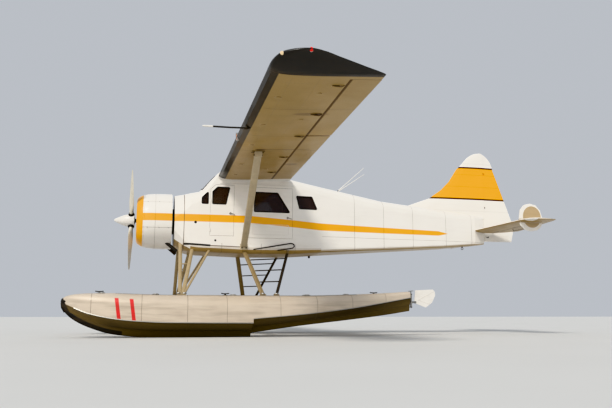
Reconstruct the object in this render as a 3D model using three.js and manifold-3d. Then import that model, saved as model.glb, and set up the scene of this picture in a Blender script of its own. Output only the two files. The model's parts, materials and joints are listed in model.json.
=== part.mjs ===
// A single-engine utility floatplane: high strutted wing, radial engine, two stepped floats.
// Millimetres. +X is forward, +Y is to port, +Z is up, and the keels of the floats rest on Z = 0.
// Tables give places as a, aft of the propeller plane, p, to port, and u, above the thrust line.
import * as THREE from 'three';
import { mergeVertices } from 'three/addons/utils/BufferGeometryUtils.js';
import Module from 'manifold-3d';

const wasm = await Module();
wasm.setup();

// Driving dimensions
const BOW_TIP = -1180;
const TAIL_END = 9150;
const PROP_X = (BOW_TIP + TAIL_END) / 2;
const THRUST_Z = 2440;
const SEAM = 0.3;
const GAP = 5;

const WALL = 50;
const CABIN_FRONT = 1240;
const CABIN_REAR = 4100;
const NOSE_FRONT = 900;
const TAIL_POST = 8300;
const TAIL_SKIN = 8;
const FLOOR_TOP = -500;
const ROOF_EDGE = 820;
const ROOF_EDGE_REAR = 690;
const HALF_CABIN = 620;
const SHIELD_TOP_A = 1800;

const WING_LE = 1800;
const WING_U = 930;
const CHORD = 1587.5;
const FOIL_THICKNESS = 0.16;
const FOIL_CAMBER = 0.035;
const DIHEDRAL = THREE.MathUtils.degToRad(1.8);
const WING_END = 6690;
const SEMISPAN = 7305;
const WING_HINGE = { c: 1185, h: 37, radius: 67 };
const COVE = 7;
const ROOT_RIB_END = 650;
const MID_ARM = 4010;

const FLOAT_P = 1435;
const KEEL_FLAT = 15;

const RUDDER_HINGE_A = 8350;
const ELEVATOR_HINGE = { a: 8530, u: -10 };
const PIN_R = 10;
const PIN_HOLE_R = 10.8;

// Fuselage sections
// columns: a, half width, bottom u, top u, top corner radius, bottom corner radius
const FUSELAGE = [
  [900, 575, -580, 570, 560, 560],
  [1090, 600, -655, 585, 440, 350],
  [1240, 612, -678, 600, 300, 150],
  [1410, 620, -686, 625, 250, 130],
  [1800, 620, -695, 1020, 60, 130],
  [2400, 620, -715, 1040, 60, 130],
  [3420, 620, -700, 955, 140, 120],
  [4100, 556, -650, 852, 215, 90],
  [5600, 415, -552, 606, 240, 80],
  [7200, 312, -445, 446, 190, 70],
  [8000, 212, -366, 368, 130, 60],
  [8300, 66, -330, 345, 50, 40],
];

// Float sections
// columns: a, keel u, chine u, half beam, deck u, shoulder radius
const FLOAT_FRONT = [
  [-1180, -1850, -1810, 55, -1730, 20],
  [-1090, -1990, -1835, 130, -1675, 52],
  [-930, -2120, -1900, 218, -1640, 100],
  [-650, -2255, -2005, 322, -1620, 155],
  [-280, -2370, -2085, 390, -1615, 205],
  [0, -2410, -2122, 420, -1622, 230],
  [300, -2435, -2147, 434, -1632, 245],
  [800, -2440, -2168, 440, -1642, 250],
  [2410, -2440, -2180, 440, -1642, 250],
];
const FLOAT_REAR = [
  [2411, -2375, -2100, 440, -1642, 250],
  [3400, -2240, -2015, 410, -1640, 230],
  [4400, -2127, -1900, 320, -1615, 175],
  [5200, -2030, -1770, 202, -1580, 100],
  [5780, -1940, -1670, 105, -1545, 50],
];

// Finish of each kind of surface
const FINISHES = {
  white: { color: 0xf3efe8, roughness: 0.35, metalness: 0.1 },
  cream: { color: 0xcdb78f, roughness: 0.45, metalness: 0.1 },
  yellow: { color: 0xf2a900, roughness: 0.35, metalness: 0.1 },
  black: { color: 0x17150f, roughness: 0.5, metalness: 0.1 },
  float: { color: 0xd9ccb6, roughness: 0.5, metalness: 0.3 },
  strut: { color: 0xd8cdbb, roughness: 0.45, metalness: 0.2 },
  metal: { color: 0x7c7a74, roughness: 0.45, metalness: 0.8 },
  blade: { color: 0x2a2a2c, roughness: 0.4, metalness: 0.6 },
  glass: { color: 0x1d2226, roughness: 0.08, metalness: 0 },
  trim: { color: 0x5d5a55, roughness: 0.8, metalness: 0 },
  seat: { color: 0x3b332c, roughness: 0.85, metalness: 0 },
};

// Solids from closed geometry, and back again
function facingOut(geometry) {
  const position = geometry.attributes.position;
  const index = geometry.index.array;
  const corner = [0, 1, 2].map(() => new THREE.Vector3());
  let volume = 0;
  for (let face = 0; face < index.length; face += 3) {
    corner.forEach((point, side) => point.fromBufferAttribute(position, index[face + side]));
    volume += corner[0].dot(corner[1].cross(corner[2]));
  }
  if (volume < 0) {
    for (let face = 0; face < index.length; face += 3) {
      [index[face], index[face + 1]] = [index[face + 1], index[face]];
    }
  }
  return geometry;
}

function solidOf(geometry) {
  const plain = geometry.clone();
  plain.deleteAttribute('normal');
  plain.deleteAttribute('uv');
  const merged = facingOut(mergeVertices(plain, 1e-3));
  return new wasm.Manifold(new wasm.Mesh({
    numProp: 3,
    vertProperties: new Float32Array(merged.attributes.position.array),
    triVerts: new Uint32Array(merged.index.array),
  }));
}

function geometryOf(solid) {
  const mesh = solid.getMesh();
  const geometry = new THREE.BufferGeometry();
  geometry.setAttribute('position', new THREE.BufferAttribute(mesh.vertProperties, 3));
  geometry.setIndex(new THREE.BufferAttribute(mesh.triVerts, 1));
  return geometry;
}

function join(...solids) {
  return solids.reduce((whole, solid) => whole.add(solid));
}

function mirrored(geometry) {
  const copy = geometry.clone();
  copy.scale(1, -1, 1);
  return facingOut(copy);
}

// Shapes
function at(a, p, u) {
  return new THREE.Vector3(PROP_X - a, p, THRUST_Z + u);
}

function capFaces(ring, offset, reversed) {
  const normal = new THREE.Vector3();
  ring.forEach((point, side) => {
    const next = ring[(side + 1) % ring.length];
    normal.add(new THREE.Vector3().crossVectors(point, next));
  });
  const size = [Math.abs(normal.x), Math.abs(normal.y), Math.abs(normal.z)];
  const dropped = size.indexOf(Math.max(...size));
  const kept = [0, 1, 2].filter((axis) => axis !== dropped);
  const flat = ring.map((point) => {
    const places = point.toArray();
    return new THREE.Vector2(places[kept[0]], places[kept[1]]);
  });
  const turn = Math.sign(THREE.ShapeUtils.area(flat));
  return THREE.ShapeUtils.triangulateShape(flat, []).flatMap((face) => {
    const same = Math.sign(THREE.ShapeUtils.area(face.map((corner) => flat[corner]))) === turn;
    const ordered = same !== reversed ? face : [face[1], face[0], face[2]];
    return ordered.map((corner) => corner + offset);
  });
}

// A closed skin through rings of equally many points.
function loft(rings) {
  const count = rings[0].length;
  const index = [];
  for (let ring = 0; ring + 1 < rings.length; ring += 1) {
    for (let side = 0; side < count; side += 1) {
      const here = ring * count + side;
      const next = ring * count + ((side + 1) % count);
      index.push(here, next, here + count, next, next + count, here + count);
    }
  }
  index.push(...capFaces(rings[0], 0, true));
  index.push(...capFaces(rings[rings.length - 1], (rings.length - 1) * count, false));
  const geometry = new THREE.BufferGeometry();
  const places = rings.flat().flatMap((point) => point.toArray());
  geometry.setAttribute('position', new THREE.Float32BufferAttribute(places, 3));
  geometry.setIndex(index);
  return solidOf(geometry);
}

// A side view outline of [a, u] corners, carried across from one p to another.
function sidePrism(outline, from, to) {
  const shape = new THREE.Shape(outline.map(([a, u]) => new THREE.Vector2(PROP_X - a, THRUST_Z + u)));
  const geometry = new THREE.ExtrudeGeometry(shape, { depth: to - from, bevelEnabled: false });
  geometry.rotateX(Math.PI / 2);
  geometry.translate(0, to, 0);
  return solidOf(geometry);
}

function block(aFrom, aTo, pFrom, pTo, uFrom, uTo) {
  return sidePrism([[aFrom, uFrom], [aTo, uFrom], [aTo, uTo], [aFrom, uTo]], pFrom, pTo);
}

// Moves each edge of an outline inwards by a distance.
function inset(outline, distance) {
  const points = outline.map(([a, u]) => new THREE.Vector2(a, u));
  const turn = Math.sign(THREE.ShapeUtils.area(points));
  return points.map((point, index) => {
    const before = points[(index + points.length - 1) % points.length];
    const after = points[(index + 1) % points.length];
    const into = point.clone().sub(before).normalize();
    const away = after.clone().sub(point).normalize();
    const normalIn = new THREE.Vector2(-into.y, into.x).multiplyScalar(turn);
    const normalOut = new THREE.Vector2(-away.y, away.x).multiplyScalar(turn);
    const middle = normalIn.clone().add(normalOut).normalize();
    const moved = point.clone().addScaledVector(middle, distance / middle.dot(normalIn));
    return [moved.x, moved.y];
  });
}

function rod(from, to, radius, sides = 12, radiusTo = radius) {
  const along = to.clone().sub(from);
  const geometry = new THREE.CylinderGeometry(radiusTo, radius, along.length(), sides);
  const turn = new THREE.Quaternion().setFromUnitVectors(
    new THREE.Vector3(0, 1, 0), along.clone().normalize());
  geometry.applyQuaternion(turn);
  const middle = from.clone().add(to).multiplyScalar(0.5);
  geometry.translate(middle.x, middle.y, middle.z);
  return solidOf(geometry);
}

// A strut of oval section, its long side along the flight direction, or level on a lengthwise one.
function ovalStrut(from, to, chord, thickness) {
  const along = to.clone().sub(from).normalize();
  const lengthwise = Math.abs(along.x) > 0.9;
  const wide = lengthwise ? new THREE.Vector3(0, 1, 0) : new THREE.Vector3(1, 0, 0);
  const forward = wide.clone().addScaledVector(along, -along.dot(wide)).normalize();
  const across = new THREE.Vector3().crossVectors(along, forward);
  const sides = 10;
  const ring = (centre) => Array.from({ length: sides }, (_, side) => {
    const turn = (2 * Math.PI * side) / sides;
    return centre.clone()
      .addScaledVector(forward, (chord / 2) * Math.cos(turn))
      .addScaledVector(across, (thickness / 2) * Math.sin(turn));
  });
  return loft([ring(from), ring(to)]);
}

// A profile of [a, radius] corners turned about the thrust line.
function turned(profile, sides = 36) {
  const points = profile.map(([a, radius]) => new THREE.Vector2(radius, a));
  const geometry = new THREE.LatheGeometry(points, sides);
  geometry.rotateZ(Math.PI / 2);
  geometry.translate(PROP_X, 0, THRUST_Z);
  return solidOf(geometry);
}

// Airfoil heights over the chord line, as shares of the chord, at the share x of it.
function foilHeights(x, thickness, camber) {
  const half = 5 * thickness * (0.2969 * Math.sqrt(x) - 0.126 * x
    - 0.3516 * x ** 2 + 0.2843 * x ** 3 - 0.1015 * x ** 4);
  const peak = 0.4;
  const front = (2 * peak * x - x * x) / peak ** 2;
  const rear = (1 - 2 * peak + 2 * peak * x - x * x) / (1 - peak) ** 2;
  const bend = camber * (x < peak ? front : rear);
  return [bend + half, bend - half];
}

const FOIL_SHARES = [1, 0.9, 0.75, 0.6, 0.45, 0.3, 0.18, 0.08, 0.025, 0];
const THIN_SHARES = [1, 0.75, 0.5, 0.28, 0.1, 0.03, 0];

// The ring of an airfoil as [distance aft, height] pairs.
function foilOutline(shares, start, end, thickness, camber) {
  const chord = end - start;
  const upper = shares.map((x) => [start + x * chord, foilHeights(x, thickness, camber)[0] * chord]);
  const lower = shares.slice(0, -1).reverse()
    .map((x) => [start + x * chord, foilHeights(x, thickness, camber)[1] * chord]);
  return [...upper, ...lower];
}

// The object and its nodes
const floatplane = new THREE.Group();
floatplane.name = 'floatplane';

function addNode(name, finish, geometry, parent = floatplane) {
  const mesh = new THREE.Mesh(geometry, new THREE.MeshStandardMaterial(FINISHES[finish]));
  mesh.name = name;
  parent.add(mesh);
}

function addSolid(name, finish, solid) {
  addNode(name, finish, geometryOf(solid));
}

function addPair(name, finish, solid) {
  const geometry = geometryOf(solid);
  addNode(`${name}_left`, finish, geometry);
  addNode(`${name}_right`, finish, mirrored(geometry));
}

// Fuselage
function sectionAt(a) {
  const last = FUSELAGE.length - 2;
  const found = FUSELAGE.findIndex((row, index) => index <= last && a <= FUSELAGE[index + 1][0]);
  const low = FUSELAGE[found < 0 ? last : found];
  const high = FUSELAGE[(found < 0 ? last : found) + 1];
  const share = (a - low[0]) / (high[0] - low[0]);
  return low.map((value, column) => value + share * (high[column] - value));
}

function fuselageRing(a, depth) {
  const [, halfWidth, bottom, top, topRadius, bottomRadius] = sectionAt(a);
  const half = halfWidth - depth;
  const low = bottom + depth;
  const high = top - depth;
  const upper = Math.max(topRadius - depth, 8);
  const lower = Math.max(bottomRadius - depth, 8);
  // columns: corner centre p, corner centre u, radius, first angle in quarter turns
  const corners = [
    [half - upper, high - upper, upper, 0],
    [-half + upper, high - upper, upper, 1],
    [-half + lower, low + lower, lower, 2],
    [half - lower, low + lower, lower, 3],
  ];
  const steps = 4;
  return corners.flatMap(([p, u, radius, quarter]) => Array.from({ length: steps + 1 }, (_, step) => {
    const turn = (quarter + step / steps) * (Math.PI / 2);
    return at(a, p + radius * Math.cos(turn), u + radius * Math.sin(turn));
  }));
}

function fuselageBody(from, to, depth = 0) {
  const between = FUSELAGE.map((row) => row[0]).filter((a) => a > from + 1 && a < to - 1);
  return loft([from, ...between, to].map((a) => fuselageRing(a, depth)));
}

const fuselageOuter = fuselageBody(NOSE_FRONT, TAIL_POST);
const HALF_SEAM = SEAM / 2;

// The windshield slopes from the nose up to the roof, and this line runs below it.
const SHIELD_DROP = 110;
const SHIELD_FOOT_A = 1410;
const shieldFoot = [SHIELD_FOOT_A, 625 - SHIELD_DROP];
const shieldHead = [SHIELD_TOP_A, 1020 - SHIELD_DROP];
const deckEdge = [CABIN_FRONT, 625 - SHIELD_DROP];
const FAR_UP = 1300;
const FAR_DOWN = -900;

// Side view regions of the cabin's panels
const roofBend = [3440, ROOF_EDGE];
const sideRegion = [[CABIN_FRONT, FLOOR_TOP], [CABIN_REAR, FLOOR_TOP], [CABIN_REAR, ROOF_EDGE_REAR],
  roofBend, [SHIELD_TOP_A, ROOF_EDGE], shieldHead, shieldFoot, deckEdge];
const shieldRegion = [deckEdge, shieldFoot, shieldHead, [SHIELD_TOP_A, FAR_UP], [CABIN_FRONT, FAR_UP]];
const roofRegion = [[SHIELD_TOP_A, ROOF_EDGE], roofBend, [CABIN_REAR, ROOF_EDGE_REAR],
  [CABIN_REAR, FAR_UP], [SHIELD_TOP_A, FAR_UP]];
const floorRegion = [[CABIN_FRONT, FAR_DOWN], [CABIN_REAR, FAR_DOWN], [CABIN_REAR, FLOOR_TOP],
  [CABIN_FRONT, FLOOR_TOP]];

// Side view outlines of doorways and panes
const crewDoorway = [[1635, -350], [2150, -350], [2150, 760], [1745, 760], [1635, 650]];
const crewWindow = [[1690, 340], [1970, 340], [2045, 700], [1790, 700], [1690, 600]];
const cabinDoorway = [[2465, -380], [3440, -380], [3440, 735], [2465, 735]];
const cabinWindow = [[2595, 200], [3370, 200], [3100, 620], [2595, 620]];
const quarterWindow = [[1465, 340], [1590, 340], [1590, 590], [1465, 465]];
const rearWindow = [[3600, 300], [4000, 300], [3880, 570], [3530, 570]];
const PANE_DEPTH = 20;
const PANE_THICK = 8;

const cabinShell = fuselageBody(CABIN_FRONT, CABIN_REAR)
  .subtract(fuselageBody(CABIN_FRONT - 20, CABIN_REAR + 20, WALL));
const paneSkin = fuselageBody(CABIN_FRONT, CABIN_REAR, PANE_DEPTH)
  .subtract(fuselageBody(CABIN_FRONT - 20, CABIN_REAR + 20, PANE_DEPTH + PANE_THICK));
const FAR_OUT = 900;
const portPrism = (outline) => sidePrism(outline, 300, FAR_OUT);

// Door hinges: knuckles half sunk in the skin, the lower one on the frame, the upper on the door.
const KNUCKLE_R = 12;
const KNUCKLE_LONG = 40;
const KNUCKLE_CLEAR = 5;
const AXIS_BACK = 10;

function hingeSet(doorFront, heights) {
  const axisA = doorFront + AXIS_BACK;
  const upright = (low, high, radius) => rod(at(axisA, HALF_CABIN, low), at(axisA, HALF_CABIN, high), radius);
  const sets = heights.map((u) => ({
    onFrame: join(
      upright(u - KNUCKLE_LONG, u - SEAM, KNUCKLE_R),
      block(doorFront - 15, axisA, HALF_CABIN - 10, HALF_CABIN + 8, u - KNUCKLE_LONG, u - SEAM)),
    onDoor: upright(u, u + KNUCKLE_LONG, KNUCKLE_R),
    roomInDoor: upright(u - KNUCKLE_LONG - KNUCKLE_CLEAR, u, KNUCKLE_R + KNUCKLE_CLEAR),
    roomInFrame: upright(u - SEAM, u + KNUCKLE_LONG + KNUCKLE_CLEAR, KNUCKLE_R + KNUCKLE_CLEAR),
  }));
  const all = (key) => join(...sets.map((set) => set[key]));
  return { onFrame: all('onFrame'), onDoor: all('onDoor'), inDoor: all('roomInDoor'), inFrame: all('roomInFrame') };
}

const crewHinges = hingeSet(crewDoorway[0][0], [-220, 420]);
const cabinHinges = hingeSet(cabinDoorway[0][0], [-240, 560]);

function buildCabin() {
  const side = cabinShell.intersect(portPrism(inset(sideRegion, HALF_SEAM)))
    .subtract(portPrism(crewDoorway))
    .subtract(portPrism(cabinDoorway))
    .subtract(portPrism(quarterWindow))
    .subtract(portPrism(rearWindow))
    .subtract(crewHinges.inFrame)
    .subtract(cabinHinges.inFrame);
  addPair('cabin_side', 'white', join(side, crewHinges.onFrame, cabinHinges.onFrame));

  const door = (doorway, pane, hinges) => join(
    cabinShell.intersect(portPrism(inset(doorway, GAP)))
      .subtract(portPrism(pane))
      .subtract(hinges.inDoor),
    hinges.onDoor);
  addPair('crew_door', 'white', door(crewDoorway, crewWindow, crewHinges));
  addPair('cabin_door', 'white', door(cabinDoorway, cabinWindow, cabinHinges));

  // columns: node, outline of its hole
  const panes = [
    ['crew_door_window', crewWindow],
    ['cabin_door_window', cabinWindow],
    ['quarter_window', quarterWindow],
    ['rear_window', rearWindow],
  ];
  panes.forEach(([name, outline]) => {
    addPair(name, 'glass', paneSkin.intersect(portPrism(inset(outline, SEAM))));
  });

  const across = (outline) => sidePrism(inset(outline, HALF_SEAM), -FAR_OUT, FAR_OUT);
  addSolid('cabin_roof', 'white', cabinShell.intersect(across(roofRegion)));
  addSolid('cabin_floor', 'white', fuselageBody(CABIN_FRONT, CABIN_REAR).intersect(across(floorRegion)));

  const holeFront = SHIELD_FOOT_A + 50;
  const holeRear = SHIELD_TOP_A - 60;
  const holeInner = 30;
  const holeOuter = 520;
  const openings = join(
    block(holeFront, holeRear, holeInner, holeOuter, 500, FAR_UP),
    block(holeFront, holeRear, -holeOuter, -holeInner, 500, FAR_UP));
  addSolid('windshield_frame', 'white', cabinShell.intersect(across(shieldRegion)).subtract(openings));
  const glassSkin = fuselageBody(SHIELD_FOOT_A, SHIELD_TOP_A, WALL + SEAM)
    .subtract(fuselageBody(SHIELD_FOOT_A - 20, SHIELD_TOP_A + 20, WALL + SEAM + PANE_THICK));
  const glassBox = sidePrism([[holeFront - 30, 500], [holeRear + 30, 500],
    [holeRear + 30, FAR_UP], [holeFront - 30, FAR_UP]], -holeOuter - 20, holeOuter + 20);
  addSolid('windshield_glass', 'glass', glassSkin.intersect(glassBox));

  addSolid('rear_bulkhead', 'trim', fuselageBody(CABIN_REAR - 20, CABIN_REAR - 8, WALL + SEAM)
    .intersect(block(0, TAIL_END, -FAR_OUT, FAR_OUT, FLOOR_TOP + SEAM, FAR_UP)));
}

function buildNose() {
  addSolid('nose_section', 'white', fuselageBody(NOSE_FRONT, CABIN_FRONT - HALF_SEAM));

  const panelA = 1400;
  const panelTop = 420;
  const inside = fuselageBody(CABIN_FRONT + SEAM, panelA + 60, WALL + SEAM);
  const panel = inside.intersect(block(panelA, panelA + 30, -HALF_CABIN, HALF_CABIN, 40, panelTop));
  const shelf = inside.intersect(block(CABIN_FRONT, panelA + 30, -HALF_CABIN, HALF_CABIN, panelTop, panelTop + 22));
  const wheelA = 1560;
  const wheelP = 290;
  const wheelU = 270;
  const column = rod(at(panelA + 20, 0, 180), at(wheelA - 20, 0, 200), 18);
  const arm = rod(at(wheelA - 28, 0, 198), at(wheelA, wheelP, wheelU), 14, 8);
  const wheel = new THREE.TorusGeometry(125, 12, 6, 18);
  wheel.rotateY(Math.PI / 2);
  wheel.translate(PROP_X - wheelA, wheelP, THRUST_Z + wheelU);
  const spoke = rod(at(wheelA, wheelP - 122, wheelU), at(wheelA, wheelP + 122, wheelU), 9, 6);
  addSolid('instrument_panel', 'trim', join(panel, shelf, column, arm, solidOf(wheel), spoke));
}

// Seats: a pan and back on a pedestal, and one pad for each
const SEAT_P = 300;
function buildSeats() {
  const halfWide = 215;
  const pedestal = block(1700, 2020, SEAT_P - 150, SEAT_P + 150, FLOOR_TOP + SEAM, -200);
  const pan = block(1640, 2090, SEAT_P - halfWide, SEAT_P + halfWide, -200, -165);
  const back = sidePrism([[2055, -165], [2090, -165], [2190, 420], [2155, 420]],
    SEAT_P - halfWide, SEAT_P + halfWide);
  addPair('seat_frame', 'metal', join(pedestal, pan, back));
  const cushion = sidePrism([[1640, -165 + SEAM], [2050, -165 + SEAM], [2148, 410], [2070, 410],
    [1990, -60], [1640, -50]], SEAT_P - halfWide + 5, SEAT_P + halfWide - 5);
  addPair('seat_pad', 'seat', cushion);
}

// Engine, cowling and propeller
const ENGINE_SHAFT = 80.4;
const COWL_IN = 576;
function buildEngine() {
  const crankcase = turned([[ENGINE_SHAFT, 0], [ENGINE_SHAFT, 40], [112, 40], [120, 95], [190, 150],
    [300, 205], [560, 205], [580, 280], [NOSE_FRONT - SEAM, 280], [NOSE_FRONT - SEAM, 0]], 18);
  const cylinderA = 430;
  const cylinders = Array.from({ length: 9 }, (_, index) => {
    const turn = Math.PI / 2 + (index * 2 * Math.PI) / 9;
    const place = (radius) => at(cylinderA, radius * Math.cos(turn), radius * Math.sin(turn));
    return rod(place(170), place(COWL_IN - 14), 96, 10);
  });
  const baffle = turned([[424, 470], [424, COWL_IN - 0.4], [434, COWL_IN - 0.4], [434, 470], [424, 470]]);
  addSolid('engine', 'metal', join(crankcase, ...cylinders, baffle));

  const split = 245;
  addSolid('cowl_ring', 'yellow', turned([[118, 415], [112, 450], [135, 492], [180, 527], [split, 557],
    [split, 537], [190, 510], [150, 470], [135, 430], [118, 415]]));
  addSolid('cowling', 'white', turned([[split + SEAM, 557], [340, 584], [480, 598], [700, 603], [850, 600],
    [850, 582], [700, 585], [424, COWL_IN], [340, 566], [split + SEAM, 537], [split + SEAM, 557]]));
}

// columns: radius, chord, thickness, blade angle in degrees
const BLADE = [
  [60, 88, 88, 0],
  [175, 88, 84, 0],
  [330, 140, 46, 44],
  [550, 172, 28, 31],
  [800, 170, 19, 23],
  [1050, 135, 12, 18],
  [1180, 90, 8, 16],
  [1200, 50, 6, 16],
];
const BLADE_ANGLES = [54.7, 174.7, -65.3];
const HUB_FRONT = -80;
const HUB_REAR = 80;
const HUB_R = 95;

function buildPropeller() {
  const sides = 10;
  const blades = BLADE_ANGLES.map((degrees) => {
    const turn = THREE.MathUtils.degToRad(degrees);
    const outward = new THREE.Vector3(0, Math.cos(turn), Math.sin(turn));
    const ahead = new THREE.Vector3(0, -Math.sin(turn), Math.cos(turn));
    const forward = new THREE.Vector3(1, 0, 0);
    return loft(BLADE.map(([radius, chord, thickness, angle]) => {
      const pitch = THREE.MathUtils.degToRad(angle);
      const chordway = ahead.clone().multiplyScalar(Math.cos(pitch)).addScaledVector(forward, Math.sin(pitch));
      const through = new THREE.Vector3().crossVectors(outward, chordway);
      return Array.from({ length: sides }, (_, side) => {
        const round = (2 * Math.PI * side) / sides;
        return at(0, 0, 0).addScaledVector(outward, radius)
          .addScaledVector(chordway, (chord / 2) * Math.cos(round))
          .addScaledVector(through, (thickness / 2) * Math.sin(round));
      });
    }));
  });
  const hub = turned([[HUB_FRONT, 0], [HUB_FRONT, HUB_R], [HUB_REAR, HUB_R], [HUB_REAR, 0]], 18);
  addSolid('propeller', 'blade', join(hub, ...blades));

  const cone = turned([[-360, 0], [-350, 20], [-275, 58], [-195, 98], [-90, 131], [10, 148], [62, 151],
    [62, 0]], 24);
  const bore = turned([[HUB_FRONT - SEAM, 0], [HUB_FRONT - SEAM, HUB_R + 0.6], [HUB_REAR, HUB_R + 0.6],
    [HUB_REAR, 0]], 18);
  const sockets = BLADE_ANGLES.map((degrees) => {
    const turn = THREE.MathUtils.degToRad(degrees);
    return rod(at(0, 60 * Math.cos(turn), 60 * Math.sin(turn)),
      at(0, 250 * Math.cos(turn), 250 * Math.sin(turn)), 46, 16);
  });
  addSolid('spinner', 'white', [bore, ...sockets].reduce((rest, cut) => rest.subtract(cut), cone));
}

// Tail
const FIN_GAP = 7;
// columns: u, a of the leading edge, half thickness
const FIN = [
  [300, 5670, 52],
  [565, 6400, 50],
  [757, 6930, 48],
  [970, 7240, 45],
  [1190, 7460, 42],
  [1500, 7665, 37],
  [1600, 7770, 35],
  [1720, 7880, 33],
  [1800, 7955, 31],
  [1855, 8025, 30],
  [1900, 8110, 29],
  [1925, 8185, 28],
  [1935, 8260, 27],
];
// columns: u, a of the trailing edge
const RUDDER = [
  [-250, 9070],
  [100, 9150],
  [800, 8900],
  [1510, 8640],
  [1650, 8560],
  [1840, 8440],
];
const RUDDER_LOW = -250;
const RUDDER_HIGH = 1840;
const RUDDER_R_LOW = 40;
const RUDDER_R_HIGH = 27;
const RUDDER_ARMS = [560, 1400];
const ARM_THICK = 30;
const ARM_ROOM = 7;

function buildFin() {
  const ring = ([u, leading, half]) => {
    const chord = RUDDER_HINGE_A - leading;
    // columns: share of the chord, share of the half thickness
    const shares = [[1, 0.92], [0.6, 1], [0.25, 0.85], [0.08, 0.5], [0.02, 0.22]];
    const port = shares.map(([x, y]) => at(leading + x * chord, y * half, u));
    const starboard = shares.slice().reverse().map(([x, y]) => at(leading + x * chord, -y * half, u));
    return [...port, at(leading, 0, u), ...starboard];
  };
  const cone = (extra) => rod(at(RUDDER_HINGE_A, 0, RUDDER_LOW), at(RUDDER_HINGE_A, 0, RUDDER_HIGH + 120),
    RUDDER_R_LOW + extra, 16, RUDDER_R_HIGH + extra);
  const arms = RUDDER_ARMS.map((u) => block(8200, RUDDER_HINGE_A + 20, -16, 16, u, u + ARM_THICK));
  const holes = RUDDER_ARMS.map((u) => rod(at(RUDDER_HINGE_A, 0, u - 5), at(RUDDER_HINGE_A, 0, u + ARM_THICK + 5),
    PIN_HOLE_R));
  const fin = join(loft(FIN.map(ring)).subtract(cone(FIN_GAP)), ...arms)
    .subtract(join(...holes))
    .subtract(fuselageOuter.translate([0, 0, SEAM]));
  addSolid('fin', 'yellow', fin);

  const rudderRing = ([u, trailing]) => {
    const share = (u - RUDDER_LOW) / (RUDDER_HIGH - RUDDER_LOW);
    const half = RUDDER_R_LOW + share * (RUDDER_R_HIGH - RUDDER_R_LOW) - 1;
    const middle = RUDDER_HINGE_A + 0.45 * (trailing - RUDDER_HINGE_A);
    return [at(RUDDER_HINGE_A, half, u), at(middle, 0.62 * half, u), at(trailing, 3, u),
      at(trailing, -3, u), at(middle, -0.62 * half, u), at(RUDDER_HINGE_A, -half, u)];
  };
  const nose = rod(at(RUDDER_HINGE_A, 0, RUDDER_LOW), at(RUDDER_HINGE_A, 0, RUDDER_HIGH), RUDDER_R_LOW, 16,
    RUDDER_R_HIGH);
  const armRoom = RUDDER_ARMS.map((u) => rod(at(RUDDER_HINGE_A, 0, u - ARM_ROOM),
    at(RUDDER_HINGE_A, 0, u + ARM_THICK + ARM_ROOM), 52, 16));
  const tubeRoom = block(8200, ELEVATOR_HINGE.a + 42, -100, 100, ELEVATOR_HINGE.u - 34, ELEVATOR_HINGE.u + 34);
  const pins = RUDDER_ARMS.map((u) => rod(at(RUDDER_HINGE_A, 0, u - 20),
    at(RUDDER_HINGE_A, 0, u + ARM_THICK + 20), PIN_R));
  addSolid('rudder', 'white', join(
    join(loft(RUDDER.map(rudderRing)), nose).subtract(join(...armRoom, tubeRoom)), ...pins));
}

// columns: p, a of the leading edge, a of the trailing edge, thickness as a share of the chord
const TAILPLANE = [
  [0, 7985, 9150, 0.09],
  [2100, 8115, 8875, 0.095],
  [2280, 8160, 8830, 0.09],
  [2370, 8230, 8760, 0.08],
  [2410, 8330, 8650, 0.06],
];
const TAIL_COVE = 6;
const TAIL_NOSE_IN = 49;
const TAIL_NOSE_OUT = 32.5;
const ELEVATOR_IN = 130;
const ELEVATOR_OUT = 1980;
const ELEVATOR_ARMS = [420, 1200];
const FINLET_P = 2000;
const FINLET_HALF = 9;

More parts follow.
